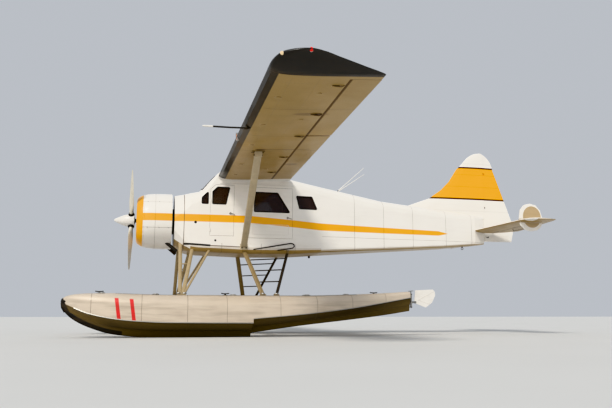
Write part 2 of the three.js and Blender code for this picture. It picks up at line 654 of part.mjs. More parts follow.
function buildTailplane() {
  const hinge = ELEVATOR_HINGE;
  const ring = ([p, start, end, thickness]) => foilOutline(THIN_SHARES, start, end, thickness, 0)
    .map(([a, height]) => at(a, p, hinge.u + height));
  const surface = loft(TAILPLANE.map(ring));
  const alongHinge = (from, to, radiusFrom, sides, radiusTo) => rod(
    at(hinge.a, from, hinge.u), at(hinge.a, to, hinge.u), radiusFrom, sides, radiusTo);
  const arms = ELEVATOR_ARMS.map((p) => block(8400, hinge.a + 18, p, p + ARM_THICK, hinge.u - 12, hinge.u + 12));
  const holes = [...ELEVATOR_ARMS.map((p) => alongHinge(p - 5, p + ARM_THICK + 5, PIN_HOLE_R)),
    alongHinge(FINLET_P - 60, FINLET_P + FINLET_HALF, PIN_HOLE_R)];
  // columns: a, u of the finlet's outline
  const finletOutline = [[8120, 20], [8155, 220], [8250, 330], [8390, 365], [8530, 330], [8630, 220],
    [8680, 40], [8650, -120], [8550, -210], [8400, -240], [8250, -205], [8150, -110]];
  const finlet = sidePrism(finletOutline, FINLET_P - FINLET_HALF, FINLET_P + FINLET_HALF);
  const cutTo = FINLET_P - FINLET_HALF;
  const fixed = surface
    .subtract(block(hinge.a, TAIL_END + 100, -10, cutTo, -200, 200))
    .subtract(alongHinge(-20, cutTo, TAIL_NOSE_IN + TAIL_COVE, 24, TAIL_NOSE_OUT + TAIL_COVE))
    .subtract(block(8288, TAIL_END, -10, ELEVATOR_IN - 5, -200, 200))
    .subtract(fuselageOuter.translate([0, SEAM, 0]));
  addPair('tailplane', 'cream', join(fixed, finlet, ...arms).subtract(join(...holes)));

  const cutBack = new THREE.Shape([[8400, -20], [9200, -20], [9200, 285], [8530, ELEVATOR_IN],
    [8400, ELEVATOR_IN]].map(([a, p]) => new THREE.Vector2(PROP_X - a, p)));
  const inboard = new THREE.ExtrudeGeometry(cutBack, { depth: 400, bevelEnabled: false });
  inboard.translate(0, 0, THRUST_Z + hinge.u - 200);
  const armRoom = ELEVATOR_ARMS.map((p) => alongHinge(p - ARM_ROOM, p + ARM_THICK + ARM_ROOM, 52, 16));
  const pins = ELEVATOR_ARMS.map((p) => alongHinge(p - 20, p + ARM_THICK + 20, PIN_R));
  const aft = surface.intersect(block(hinge.a, TAIL_END + 100, 0, ELEVATOR_OUT, -200, 200));
  const nose = alongHinge(0, ELEVATOR_OUT, TAIL_NOSE_IN, 24, TAIL_NOSE_OUT);
  const endPin = alongHinge(ELEVATOR_OUT - 20, FINLET_P + FINLET_HALF - 1, PIN_R);
  const half = join(join(aft, nose).subtract(solidOf(inboard)).subtract(join(...armRoom)), ...pins, endPin);
  addPair('elevator', 'cream', half);
  addSolid('elevator_tube', 'metal', alongHinge(SEAM - ELEVATOR_IN, ELEVATOR_IN - SEAM, 20, 16));
}

function buildTailCone() {
  const outer = fuselageBody(CABIN_REAR + HALF_SEAM, TAIL_POST);
  addSolid('tail_cone', 'white', outer.subtract(fuselageBody(CABIN_REAR - 20, 8120, TAIL_SKIN)));
}

// Wing, in its own frame: c aft of the leading edge, s along the span, h over the chord line
function wingPoint(c, s, h) {
  return new THREE.Vector3(-c, s, h);
}

function wingBlock(cFrom, cTo, sFrom, sTo, hFrom, hTo) {
  const geometry = new THREE.BoxGeometry(cTo - cFrom, sTo - sFrom, hTo - hFrom);
  geometry.translate(-(cFrom + cTo) / 2, (sFrom + sTo) / 2, (hFrom + hTo) / 2);
  return solidOf(geometry);
}

function wingRing(s, start, end, thickness = FOIL_THICKNESS, camber = FOIL_CAMBER) {
  return foilOutline(FOIL_SHARES, start, end, thickness, camber).map(([c, h]) => wingPoint(c, s, h));
}

function alongWing(from, to, radius, sides = 12) {
  const { c, h } = WING_HINGE;
  return rod(wingPoint(c, from, h), wingPoint(c, to, h), radius, sides);
}

// columns: s, c of the leading edge, c of the trailing edge, thickness as a share of the chord, droop
const WING_TIP = [
  [WING_END + SEAM, 0, CHORD, 0.16, 0],
  [6870, 1, 1584, 0.16, 0],
  [6930, 6, 1490, 0.158, -6],
  [7000, 20, 1325, 0.152, -16],
  [7080, 48, 1140, 0.145, -30],
  [7150, 88, 970, 0.135, -44],
  [7220, 180, 800, 0.12, -58],
  [7270, 280, 690, 0.1, -68],
  [SEMISPAN, 390, 580, 0.085, -75],
];
const wingGroups = [1, -1].map((side) => {
  const group = new THREE.Group();
  group.position.set(PROP_X - WING_LE, 0, THRUST_Z + WING_U);
  group.rotation.x = side * DIHEDRAL;
  group.updateMatrixWorld();
  floatplane.add(group);
  return group;
});
const wingPanel = loft([wingRing(560, 0, CHORD), wingRing(WING_END, 0, CHORD)]);

function addWingPair(name, finish, solid) {
  const geometry = geometryOf(solid);
  addNode(`${name}_left`, finish, geometry, wingGroups[0]);
  addNode(`${name}_right`, finish, mirrored(geometry), wingGroups[1]);
}

// columns: node, inner end, outer end, end of the inner pin, end of the outer pin
const SURFACES = [
  ['flap', ROOT_RIB_END + 5, MID_ARM - 20, ROOT_RIB_END - 15, MID_ARM - 3],
  ['aileron', MID_ARM + 20, WING_END - 10, MID_ARM + 3, WING_END + 15],
];

function buildWing() {
  const { c, h, radius } = WING_HINGE;
  const aft = wingBlock(c, CHORD + 50, ROOT_RIB_END, WING_END + 50, -300, 300);
  const lowerLip = wingBlock(c - 50, c + 1, ROOT_RIB_END, WING_END + 50, -300, h);
  const cove = alongWing(ROOT_RIB_END, WING_END + 50, radius + COVE, 24);
  const arm = wingBlock(c - 120, c + 24, MID_ARM - 15, MID_ARM + 15, h - 28, h + 28);
  const farInside = 2000;
  const sideWall = new THREE.BoxGeometry(TAIL_END, farInside, TAIL_END);
  sideWall.translate(0, HALF_CABIN + SEAM - farInside / 2, THRUST_Z);
  sideWall.applyMatrix4(wingGroups[0].matrixWorld.clone().invert());
  const main = join(wingPanel.subtract(aft).subtract(lowerLip).subtract(cove), arm)
    .subtract(alongWing(500, MID_ARM + 40, PIN_HOLE_R))
    .subtract(solidOf(sideWall));
  addWingPair('wing', 'cream', main);

  const tip = loft(WING_TIP.map(([s, start, end, thickness, droop]) => wingRing(s, start, end, thickness)
    .map((point) => point.setZ(point.z - droop))));
  addWingPair('wing_tip', 'black', tip.subtract(alongWing(WING_END, WING_END + 25, PIN_HOLE_R)));

  SURFACES.forEach(([name, inner, outer, pinIn, pinOut]) => {
    const rear = wingPanel.intersect(wingBlock(c, CHORD + 50, inner, outer, -300, 300));
    addWingPair(name, 'cream', join(rear, alongWing(inner, outer, radius, 24),
      alongWing(pinIn, inner + 5, PIN_R), alongWing(outer - 5, pinOut, PIN_R)));
  });
}

// Wing struts
const STRUT_FOOT = at(2370, 600, -590);
const STRUT_TOP = at(2280, 3000, 900);
function buildWingStruts() {
  const foot = block(2290, 2450, HALF_CABIN - 20, HALF_CABIN + 28, -640, -512);
  const topPad = block(2215, 2350, 2945, 3055, 850, 970);
  const panelGeometry = geometryOf(wingPanel);
  panelGeometry.applyMatrix4(wingGroups[0].matrixWorld);
  const panel = solidOf(panelGeometry).translate([0, 0, -SEAM]);
  const strut = join(ovalStrut(STRUT_FOOT, STRUT_TOP, 140, 56), foot, topPad)
    .subtract(fuselageOuter.translate([0, SEAM, 0]))
    .subtract(panel)
    .subtract(panel.translate([0, 0, 100]));
  addPair('wing_strut', 'strut', strut);
}

// Floats
function floatRing([a, keel, chine, halfBeam, deck, shoulder]) {
  const flute = 0.55;
  const crown = 14;
  const steps = 3;
  const arc = Array.from({ length: steps + 1 }, (_, step) => {
    const turn = (step / steps) * (Math.PI / 2);
    return [halfBeam - shoulder + shoulder * Math.cos(turn), deck - shoulder + shoulder * Math.sin(turn)];
  });
  const hollow = 0.1 * (chine - keel);
  const outline = [[Math.min(KEEL_FLAT, halfBeam * 0.3), keel],
    [halfBeam * flute, keel + flute * (chine - keel) + hollow], [halfBeam, chine], ...arc];
  const port = outline.map(([p, u]) => at(a, FLOAT_P + p, u));
  const starboard = outline.slice().reverse().map(([p, u]) => at(a, FLOAT_P - p, u));
  return [...port, at(a, FLOAT_P, deck + crown), ...starboard];
}

const floatHull = loft([...FLOAT_FRONT, ...FLOAT_REAR].map(floatRing));
const STERN = 5780;
const POST_A = 5830;
const GUDGEONS = [-1590, -1860];
const GUDGEON_THICK = 16;
// columns: a, u under the cleat, height
const CLEATS = [
  [-500, -1625, 65],
  [1900, -1650, 65],
  [5000, -1610, 65],
];

function buildFloats() {
  const gudgeons = GUDGEONS.map((u) => block(STERN - 20, POST_A + 16, FLOAT_P - 16, FLOAT_P + 16,
    u, u + GUDGEON_THICK));
  const holes = GUDGEONS.map((u) => rod(at(POST_A, FLOAT_P, u - 5), at(POST_A, FLOAT_P, u + GUDGEON_THICK + 5),
    PIN_HOLE_R));
  const cleats = CLEATS.map(([a, u, height]) => join(
    block(a - 20, a + 20, FLOAT_P - 12, FLOAT_P + 12, u, u + height),
    block(a - 70, a + 70, FLOAT_P - 14, FLOAT_P + 14, u + height - 18, u + height)));
  addPair('float', 'float', join(floatHull, ...gudgeons, ...cleats).subtract(join(...holes)));
}

// Float struts
const LEG_FOOT = -1628;
// columns: a and p and u at the fuselage, a and p and u at the deck, chord, thickness
const FRONT_LEGS = [
  [1035, 600, -700, 1015, FLOAT_P, LEG_FOOT, 78, 44],
  [1270, 600, -700, 1070, FLOAT_P, LEG_FOOT, 78, 44],
  [1612, 600, -700, 1082, FLOAT_P, LEG_FOOT, 52, 32],
];
const REAR_LEGS = [
  [2400, 600, -700, 2660, FLOAT_P, LEG_FOOT, 95, 48],
  [3340, 600, -640, 2935, FLOAT_P, LEG_FOOT, 60, 38],
];
const LEG_RUN_IN = 0.35;

function legEnds([aTop, pTop, uTop, aLow, pLow, uLow]) {
  const low = at(aLow, pLow, uLow);
  const top = at(aTop, pTop, uTop);
  return { low, top, sunk: top.clone().lerp(low, -LEG_RUN_IN) };
}

function legFrame(rows, rungShares, shoes) {
  const legs = rows.map((row) => {
    const { low, sunk } = legEnds(row);
    return ovalStrut(sunk, low, row[6], row[7]);
  });
  const [first, second] = rows.slice(0, 2).map(legEnds);
  const rungs = rungShares.map((share) => ovalStrut(first.top.clone().lerp(first.low, share),
    second.top.clone().lerp(second.low, share), 40, 24));
  const pads = shoes.map(([from, to]) => block(from, to, FLOAT_P - 38, FLOAT_P + 38, LEG_FOOT - 35, LEG_FOOT + 22));
  return join(...legs, ...rungs, ...pads)
    .subtract(fuselageOuter.translate([0, SEAM, -SEAM]))
    .subtract(floatHull.translate([0, 0, SEAM]))
    .subtract(floatHull.translate([0, 0, -60]));
}

function buildFloatStruts() {
  addPair('front_float_struts', 'strut', legFrame(FRONT_LEGS, [0.3], [[955, 1130]]));
  addPair('rear_float_struts', 'strut', legFrame(REAR_LEGS, [0.18, 0.44, 0.7], [[2600, 2720], [2880, 2990]]));

  // columns: node, a, u, chord
  const bars = [
    ['front_spreader_bar', 1120, -1760, 95],
    ['rear_spreader_bar', 2655, -1760, 150],
  ];
  const inward = floatHull.translate([0, -SEAM, 0]);
  const otherInward = solidOf(mirrored(geometryOf(inward)));
  bars.forEach(([name, a, u, chord]) => {
    const bar = ovalStrut(at(a, -FLOAT_P + 300, u), at(a, FLOAT_P - 300, u), chord, 46);
    addSolid(name, 'strut', bar.subtract(inward).subtract(otherInward));
  });
}

// Water rudders: a steering post on the stern, and a blade that lifts on the post's fork
const LIFT_A = 5920;
const LIFT_U = -1750;
const TILLER_U = -1523;
const BLADE_HALF = 6;
// columns: a, u of the lifted blade's outline
const WATER_BLADE = [[5905, -1728], [5930, -1500], [6330, -1480], [6375, -1530], [6380, -1610],
  [6300, -1760], [6160, -1860], [5925, -1772], [5905, -1760]];

function buildWaterRudders() {
  const post = rod(at(POST_A, FLOAT_P, -1872), at(POST_A, FLOAT_P, TILLER_U + 12), PIN_R);
  const stock = rod(at(POST_A, FLOAT_P, GUDGEONS[1] + GUDGEON_THICK + SEAM),
    at(POST_A, FLOAT_P, GUDGEONS[0] - SEAM), 20);
  const cheek = (p) => block(POST_A, LIFT_A + 20, p - 5, p + 5, LIFT_U - 20, LIFT_U + 20);
  const cheekP = BLADE_HALF + 4.4 + 5;
  const pin = rod(at(LIFT_A, FLOAT_P - cheekP, LIFT_U), at(LIFT_A, FLOAT_P + cheekP, LIFT_U), PIN_R);
  const tiller = block(POST_A - 12, POST_A + 12, FLOAT_P - 110, FLOAT_P + 110, TILLER_U, TILLER_U + 12);
  addPair('water_rudder_post', 'metal', join(post, stock, cheek(FLOAT_P - cheekP), cheek(FLOAT_P + cheekP),
    pin, tiller));

  const plate = sidePrism(WATER_BLADE, FLOAT_P - BLADE_HALF, FLOAT_P + BLADE_HALF);
  const hub = rod(at(LIFT_A, FLOAT_P - BLADE_HALF - 4, LIFT_U), at(LIFT_A, FLOAT_P + BLADE_HALF + 4, LIFT_U), 22);
  const bore = rod(at(LIFT_A, FLOAT_P - 20, LIFT_U), at(LIFT_A, FLOAT_P + 20, LIFT_U), PIN_HOLE_R);
  addPair('water_rudder_blade', 'white', join(plate, hub).subtract(bore));
}

buildCabin();
buildNose();
buildSeats();
buildEngine();
buildPropeller();
buildFin();
buildTailplane();
buildTailCone();
buildWing();
buildWingStruts();
buildFloats();
buildFloatStruts();
buildWaterRudders();

export default floatplane;
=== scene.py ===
"""The looks of a utility floatplane. Metres, +X forward, +Y to port, +Z up, keels on Z = 0."""

import json
import math

import bmesh
import bpy
import numpy as np
from mathutils import Matrix, Vector


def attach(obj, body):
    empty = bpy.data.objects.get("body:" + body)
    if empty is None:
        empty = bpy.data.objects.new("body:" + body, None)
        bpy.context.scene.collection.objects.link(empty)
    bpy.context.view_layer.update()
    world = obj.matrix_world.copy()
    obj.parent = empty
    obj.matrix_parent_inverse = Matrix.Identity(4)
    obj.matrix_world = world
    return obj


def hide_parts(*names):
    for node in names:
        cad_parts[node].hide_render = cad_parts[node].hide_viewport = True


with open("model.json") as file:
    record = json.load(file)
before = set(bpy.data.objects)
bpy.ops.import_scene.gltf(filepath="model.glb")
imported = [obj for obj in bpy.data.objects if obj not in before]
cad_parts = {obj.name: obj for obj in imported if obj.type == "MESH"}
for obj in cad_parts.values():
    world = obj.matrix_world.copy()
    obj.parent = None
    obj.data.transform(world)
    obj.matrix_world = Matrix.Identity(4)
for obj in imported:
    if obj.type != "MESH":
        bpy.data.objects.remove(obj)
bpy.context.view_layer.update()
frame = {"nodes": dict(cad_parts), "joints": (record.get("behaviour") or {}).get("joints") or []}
JOINTS = {joint["name"]: joint for joint in frame["joints"]}

# Places are a, aft of the propeller plane, p, to port, and u, above the thrust line.
PROP_X, _, THRUST_Z = JOINTS["propeller_spin"]["pos_m"]
LEFT_RIGHT = ((1, "left"), (-1, "right"))
AHEAD = (1, 0, 0)
UPWARD = (0, 0, 1)

# Wing
WING_A = 1.8
WING_U = 0.93
CHORD = 1.5875
FOIL_THICK = 0.16
FOIL_BENT = 0.035
DIHEDRAL = math.radians(1.8)
WING_END = 6.69
RIB_STEP = 0.3425
MID_ARM = 4.01
OUTER_ARM = 5.2
TIP_BLACK = 6.79
STRUT_TOP_P = 3.0

# Floats
FLOAT_P = 1.435
STEP_A = 2.41
STERN_A = 5.78


def at(a, p, u):
    return Vector((PROP_X - a, p, THRUST_Z + u))


HUB = at(0, 0, 0)


# Camera: the photo's bearing on the craft, brought down to the floor
PHOTO_BEARING = math.radians(166.5)
CAMERA_AWAY = 15.5
CAMERA_HIGH = 0.42
CAMERA_LENS = 40
AIM_HIGH = 2.95
AIM_ALONG = 0.1


def add_camera():
    data = bpy.data.cameras.new("camera")
    data.lens = CAMERA_LENS
    data.clip_end = 400
    camera = bpy.data.objects.new("camera", data)
    bpy.context.scene.collection.objects.link(camera)
    back = Vector((math.sin(PHOTO_BEARING), -math.cos(PHOTO_BEARING), 0))
    camera.location = back * CAMERA_AWAY + Vector((0, 0, CAMERA_HIGH))
    aim = Vector((AIM_ALONG, 0, AIM_HIGH)) - camera.location
    camera.rotation_euler = aim.to_track_quat("-Z", "Y").to_euler()
    bpy.context.scene.camera = camera


add_camera()


# Shader arithmetic
class Value:
    """A number from a shader node, reckoned with like a plain number."""

    def __init__(self, tree, socket):
        self.tree = tree
        self.socket = socket

    def reckon(self, operation, *others, clamp=False):
        node = self.tree.nodes.new("ShaderNodeMath")
        node.operation = operation
        node.use_clamp = clamp
        for index, term in enumerate((self, *others)):
            if isinstance(term, Value):
                self.tree.links.new(term.socket, node.inputs[index])
            else:
                node.inputs[index].default_value = term
        return Value(self.tree, node.outputs[0])

    def __add__(self, other):
        return self.reckon("ADD", other)

    def __sub__(self, other):
        return self.reckon("SUBTRACT", other)

    def __mul__(self, other):
        return self.reckon("MULTIPLY", other)

    def __rsub__(self, other):
        return self.reckon("MULTIPLY_ADD", -1, other)

    def __neg__(self):
        return self.reckon("MULTIPLY", -1)

    def __abs__(self):
        return self.reckon("ABSOLUTE")

    __radd__ = __add__
    __rmul__ = __mul__

    def clip(self):
        return self.reckon("ADD", 0, clamp=True)

    def over(self, limit, soft=0.003):
        """1 where this is more than the limit, and 0 where it is less."""
        return ((self - limit) * (1 / soft) + 0.5).clip()

    def under(self, limit, soft=0.003):
        return 1 - self.over(limit, soft)

    def near(self, centre, half, soft=0.003):
        """1 within half of the centre."""
        return abs(self - centre).under(half, soft)

    def between(self, low, high, soft=0.003):
        return self.over(low, soft) * self.under(high, soft)

    def share(self, low, high):
        """0 at low, rising to 1 at high."""
        return ((self - low) * (1 / (high - low))).clip()

    def most(self, other):
        return self.reckon("MAXIMUM", other)

    def bent(self, points):
        """The height of a line that runs straight from point to point."""
        line = self * 0 + points[0][1]
        for (low, first), (high, second) in zip(points, points[1:]):
            line = line + self.share(low, high) * (second - first)
        return line

    def wrapped(self, step):
        """The distance to the nearest multiple of the step."""
        return abs(self.reckon("WRAP", step / 2, -step / 2))


def linear(red, green, blue):
    """A colour on the screen's 0 to 255 scale as linear light."""
    def channel(value):
        share = value / 255
        return share / 12.92 if share <= 0.04045 else ((share + 0.055) / 1.055) ** 2.4
    return (channel(red), channel(green), channel(blue), 1)


WHITE = linear(243, 239, 232)
# A warm tan that stands in as painted shade on surfaces that face down.
UNDERSIDE_SHADE = linear(172, 143, 90)
GOLD = linear(248, 176, 0)
BLACK = linear(22, 20, 18)
GRIME = linear(92, 74, 50)
BORDER = linear(84, 38, 14)
RED = linear(222, 40, 44)
FLOAT_SIDE = linear(212, 198, 180)
# The float bottoms' own darker tone, deepened as painted shade.
FLOAT_BOTTOM_AND_SHADE = linear(86, 70, 34)
STRUT_TONE = linear(204, 188, 158)
# A tan darker than the struts' own tone: painted shade on the rear float legs.
SHADED_LEG_TONE = linear(154, 134, 98)
RUBBER = linear(24, 23, 22)
STEEL = linear(150, 148, 144)
DARK_STEEL = linear(62, 60, 58)
ALUMINIUM = linear(186, 184, 178)
BLADE_TONE = linear(232, 224, 206)
LINING = linear(112, 106, 98)
CARPET = linear(58, 54, 50)
HIDE = linear(66, 48, 36)
PLASTIC = linear(38, 38, 40)
GLASS_TONE = linear(44, 32, 30)
# A dark brown for dark joints, and for painted shade in gaps, at roots, along edges and under fittings.
SEAM_AND_SHADE_TONE = linear(84, 58, 34)


# How dark seams and rivet heads are, and how far they stand in or out
SEAM_DARK = 0.62
SEAM_DEPTH = 0.003
RIVET_DARK = 0.16
RIVET_HEIGHT = 0.0016


class Look:
    """A material: one Principled shader, and the nodes that feed it."""

    def __init__(self, name, roughness, metallic=0.0, coat=0.0):
        self.material = bpy.data.materials.new(name)
        self.material.use_nodes = True
        self.tree = self.material.node_tree
        self.shader = self.tree.nodes["Principled BSDF"]
        self.put("Roughness", roughness)
        self.put("Metallic", metallic)
        if coat:
            self.put("Coat Weight", coat)
            self.put("Coat Roughness", 0.08)
        self.rough = roughness
        self.bumped = None
        place = self.tree.nodes.new("ShaderNodeTexCoord")
        self.place = place.outputs["Object"]
        self.x, self.y, self.z = self.split(self.place)
        self.nx, self.ny, self.nz = self.split(place.outputs["Normal"])
        self.a = PROP_X - self.x
        self.u = self.z - THRUST_Z
        self.p = abs(self.y)

    def put(self, name, value):
        self.shader.inputs[name].default_value = value

    def link(self, value, name):
        self.tree.links.new(value.socket if isinstance(value, Value) else value, self.shader.inputs[name])

    def split(self, socket):
        node = self.tree.nodes.new("ShaderNodeSeparateXYZ")
        self.tree.links.new(socket, node.inputs[0])
        return [Value(self.tree, output) for output in node.outputs]

    def texture(self, kind, scale, stretch=(1, 1, 1)):
        """A texture node, laid on the craft's own coordinates."""
        mapping = self.tree.nodes.new("ShaderNodeMapping")
        mapping.inputs["Scale"].default_value = stretch
        self.tree.links.new(self.place, mapping.inputs["Vector"])
        node = self.tree.nodes.new(kind)
        node.inputs["Scale"].default_value = scale
        self.tree.links.new(mapping.outputs[0], node.inputs["Vector"])
        return node

    def noise(self, scale, detail=3.0, stretch=(1, 1, 1)):
        node = self.texture("ShaderNodeTexNoise", scale, stretch)
        node.inputs["Detail"].default_value = detail
        return Value(self.tree, node.outputs["Fac"])

    def cells(self, scale):
        return Value(self.tree, self.texture("ShaderNodeTexVoronoi", scale).outputs["Distance"])

    def below(self):
        """1 where the surface looks down."""
        return self.nz.under(0.0, 0.25)

    def mix(self, share, first, second):
        node = self.tree.nodes.new("ShaderNodeMix")
        node.data_type = "RGBA"
        self.tree.links.new(share.socket, node.inputs["Factor"])
        for name, colour in (("A", first), ("B", second)):
            socket = next(i for i in node.inputs if i.name == name and i.type == "RGBA")
            if isinstance(colour, tuple):
                socket.default_value = colour
            else:
                self.tree.links.new(colour, socket)
        return next(o for o in node.outputs if o.type == "RGBA")

    def bump(self, height, depth, strength=1.0):
        node = self.tree.nodes.new("ShaderNodeBump")
        node.inputs["Distance"].default_value = depth
        node.inputs["Strength"].default_value = strength
        self.tree.links.new(height.socket, node.inputs["Height"])
        if self.bumped:
            self.tree.links.new(self.bumped, node.inputs["Normal"])
        self.bumped = node.outputs[0]
        self.tree.links.new(self.bumped, self.shader.inputs["Normal"])

    def finish(self, colour, dirt, lines=None, rivets=None, spread=0.12):
        """The last colour, with grime, panel lines and rivets over the paint."""
        patches = self.noise(1.6, 5, (1, 1, 1.6))
        streaks = self.noise(5, 4, (0.35, 1, 3))
        specks = self.noise(70, 2)
        soil = (patches.share(0.42, 0.78) * 0.55 + streaks.share(0.5, 0.85) * 0.45) * dirt
        if lines is not None:
            soil = soil.most(lines * SEAM_DARK)
            self.bump(1 - lines, SEAM_DEPTH)
        if rivets is not None:
            soil = soil.most(rivets * RIVET_DARK)
            self.bump(rivets, RIVET_HEIGHT)
        self.link(self.mix(soil, colour, GRIME), "Base Color")
        wear = patches.share(0.3, 0.7) * spread + specks.share(0.35, 0.75) * (spread * 0.4)
        self.link(wear + (self.rough - spread * 0.5), "Roughness")
        self.bump(specks, 0.00035, 0.5)
        return self.material


def seams(along, places, half=0.004):
    """Thin lines across a run at the given places."""
    masks = [along.near(place, half) for place in places]
    joined = masks[0]
    for mask in masks[1:]:
        joined = joined.most(mask)
    return joined


def rivet_rows(along, across, places, step=0.045, offset=0.018):
    """Rivet heads on both sides of each seam."""
    rows = seams(across, [place + side * offset for place in places for side in (-1, 1)], 0.0035)
    return rows * along.wrapped(step).under(0.0035)


# Float sections
# columns: a, keel u, chine u, half beam, deck u, shoulder radius
FLOAT_FRONT = (
    (-1.18, -1.85, -1.81, 0.055, -1.73, 0.02),
    (-1.09, -1.99, -1.835, 0.13, -1.675, 0.052),
    (-0.93, -2.12, -1.9, 0.218, -1.64, 0.1),
    (-0.65, -2.255, -2.005, 0.322, -1.62, 0.155),
    (-0.28, -2.37, -2.085, 0.39, -1.615, 0.205),
    (0.0, -2.41, -2.122, 0.42, -1.622, 0.23),
    (0.3, -2.435, -2.147, 0.434, -1.632, 0.245),
    (0.8, -2.44, -2.168, 0.44, -1.642, 0.25),
    (STEP_A, -2.44, -2.18, 0.44, -1.642, 0.25),
)
FLOAT_REAR = (
    (STEP_A + 0.001, -2.375, -2.1, 0.44, -1.642, 0.25),
    (3.4, -2.24, -2.015, 0.41, -1.64, 0.23),
    (4.4, -2.127, -1.9, 0.32, -1.615, 0.175),
    (5.2, -2.03, -1.77, 0.202, -1.58, 0.1),
    (STERN_A, -1.94, -1.67, 0.105, -1.545, 0.05),
)
CHINE = [(row[0], row[2]) for row in (*FLOAT_FRONT, *FLOAT_REAR)]


# Paints
CABIN_END = 4.1
STRIPE_HIGH = 0.022
STRIPE_HALF = 0.077
STRIPE_END = 7.25
FRAMES_A = (4.9, 5.62, 6.35, 7.2, 7.9)


def gold_stripe(look):
    """The stripe along each side: level at the cabin, then falling and narrowing to a point."""
    centre = STRIPE_HIGH - look.a.share(2.5, CABIN_END) * 0.11 - look.a.share(CABIN_END, 7.2) * 0.04
    half = look.a.bent(((CABIN_END, STRIPE_HALF), (7.0, 0.05), (STRIPE_END, 0)))
    return (half - abs(look.u - centre)).over(0, 0.005) * look.a.under(STRIPE_END)


def low_marks(look, paint):
    """A dark crease from the cowl to the strut's foot, a thin brown line of painted shade along the lower
    edge aft of it, and the brown joint behind the cowl.
    """
    crease = look.u - look.a.bent(((1.1, -0.53), (1.66, -0.56), (2.3, -0.578)))
    slot = crease.near(0, 0.02) * look.a.between(1.1, 1.66) * look.p.over(0.4)
    # Painted shade: a thin brown line along the lower edge, aft of the strut's foot.
    thin = crease.near(0, 0.009) * look.a.between(1.66, 2.32)
    joint = look.a.near(1.098, 0.0085) * look.u.under(0.55)
    return look.mix(thin.most(joint) * 0.85, look.mix(slot, paint, BLACK), SEAM_AND_SHADE_TONE)


def cabin_inside(look):
    """1 on the cabin's walls and ceiling."""
    inward = (look.ny * look.y.reckon("SIGN")).under(-0.4, 0.05)
    ceiling = (-look.nz).over(0.6, 0.1) * look.u.over(0.5)
    return inward.most(ceiling) * look.a.between(1.27, CABIN_END - 0.01)


def fuselage_paint():
    look = Look("fuselage_paint", 0.34, 0.0, 0.15)
    # Faces that look down on the lower fuselage are tan: painted shade.
    belly = (-look.nz).over(0.55, 0.2) * look.u.under(0.1)
    outside = low_marks(look, look.mix(belly, look.mix(gold_stripe(look), WHITE, GOLD), UNDERSIDE_SHADE))
    inside = cabin_inside(look)
    colour = look.mix(inside, outside, look.mix(look.noise(180, 2), LINING, linear(88, 84, 78)))
    aft_seam = seams(look.u, (-0.3,), 0.003) * look.a.over(CABIN_END + 0.02)
    lines = seams(look.a, FRAMES_A).most(aft_seam) * (1 - inside)
    rivets = rivet_rows(look.u, look.a, (1.24, CABIN_END, *FRAMES_A)) * (1 - inside)
    return look.finish(colour, 0.16, lines, rivets)


def floor_paint():
    look = Look("belly_paint", 0.42)
    joints = (1.9, 2.75, 3.5)
    carpet = look.mix(look.cells(260), CARPET, linear(84, 80, 74))
    # Faces that look down are tan: painted shade.
    outside = low_marks(look, look.mix((-look.nz).over(0.3, 0.4), WHITE, UNDERSIDE_SHADE))
    colour = look.mix(look.nz.over(0.6, 0.1), outside, carpet)
    return look.finish(colour, 0.3, seams(look.a, joints), rivet_rows(look.y, look.a, joints))


def cowl_paint(name, colour_of):
    look = Look(name, 0.3, 0.0, 0.25)
    seam = look.u.near(-0.2, 0.004) * look.a.over(0.25)
    hatches = look.u.near(0.36, 0.003) * look.a.over(0.25)
    lines = seam.most(hatches).most(seams(look.a, (0.5,), 0.003))
    rim = look.a.between(0.262, 0.27, 0.002) * look.u.wrapped(0.06).under(0.006)
    return look.finish(colour_of(look), 0.14, lines, rim)


def soft_spot(along, across, long, wide):
    """1 at the middle of an oval, falling to 0 at its edge."""
    far = (along * (1 / long)) * (along * (1 / long)) + (across * (1 / wide)) * (across * (1 / wide))
    return 1 - far.share(0.5, 1.0)


def black_edge(look):
    """1 on the wing's black leading edge, which reaches further aft below."""
    return (look.a - WING_A).under(0.105 + look.below() * 0.035, 0.004)


def wing_marks(look, c):
    """Dark joints along the hinges, aft of the strut and between flap and aileron, painted shadows where the
    strut meets the wing and under the outer hinge bracket, and two soft dark patches.
    """
    joint = c.near(1.157, 0.021, 0.006)
    aft = look.p.near(3.14, 0.012) * c.between(0.44, 1.42)
    gap = look.p.near(MID_ARM, 0.016) * c.over(1.16)
    # Painted shadows: a soft dark spot at the strut's top and one under the outer hinge bracket.
    strut_shadow = soft_spot(c - 0.5, look.p - 3.13, 0.11, 0.065)
    hinge_shadow = soft_spot(c - 1.06, look.p - OUTER_ARM, 0.08, 0.06)
    # Two soft dark patches, half as dark.
    outer_patch = soft_spot(c - 0.95, look.p - OUTER_ARM, 0.32, 0.08)
    inner_patch = soft_spot(c - 1.3, look.p - 2.0, 0.16, 0.09)
    dark = joint.most(aft).most(gap).most(strut_shadow).most(hinge_shadow)
    return dark.most(outer_patch.most(inner_patch) * 0.5)


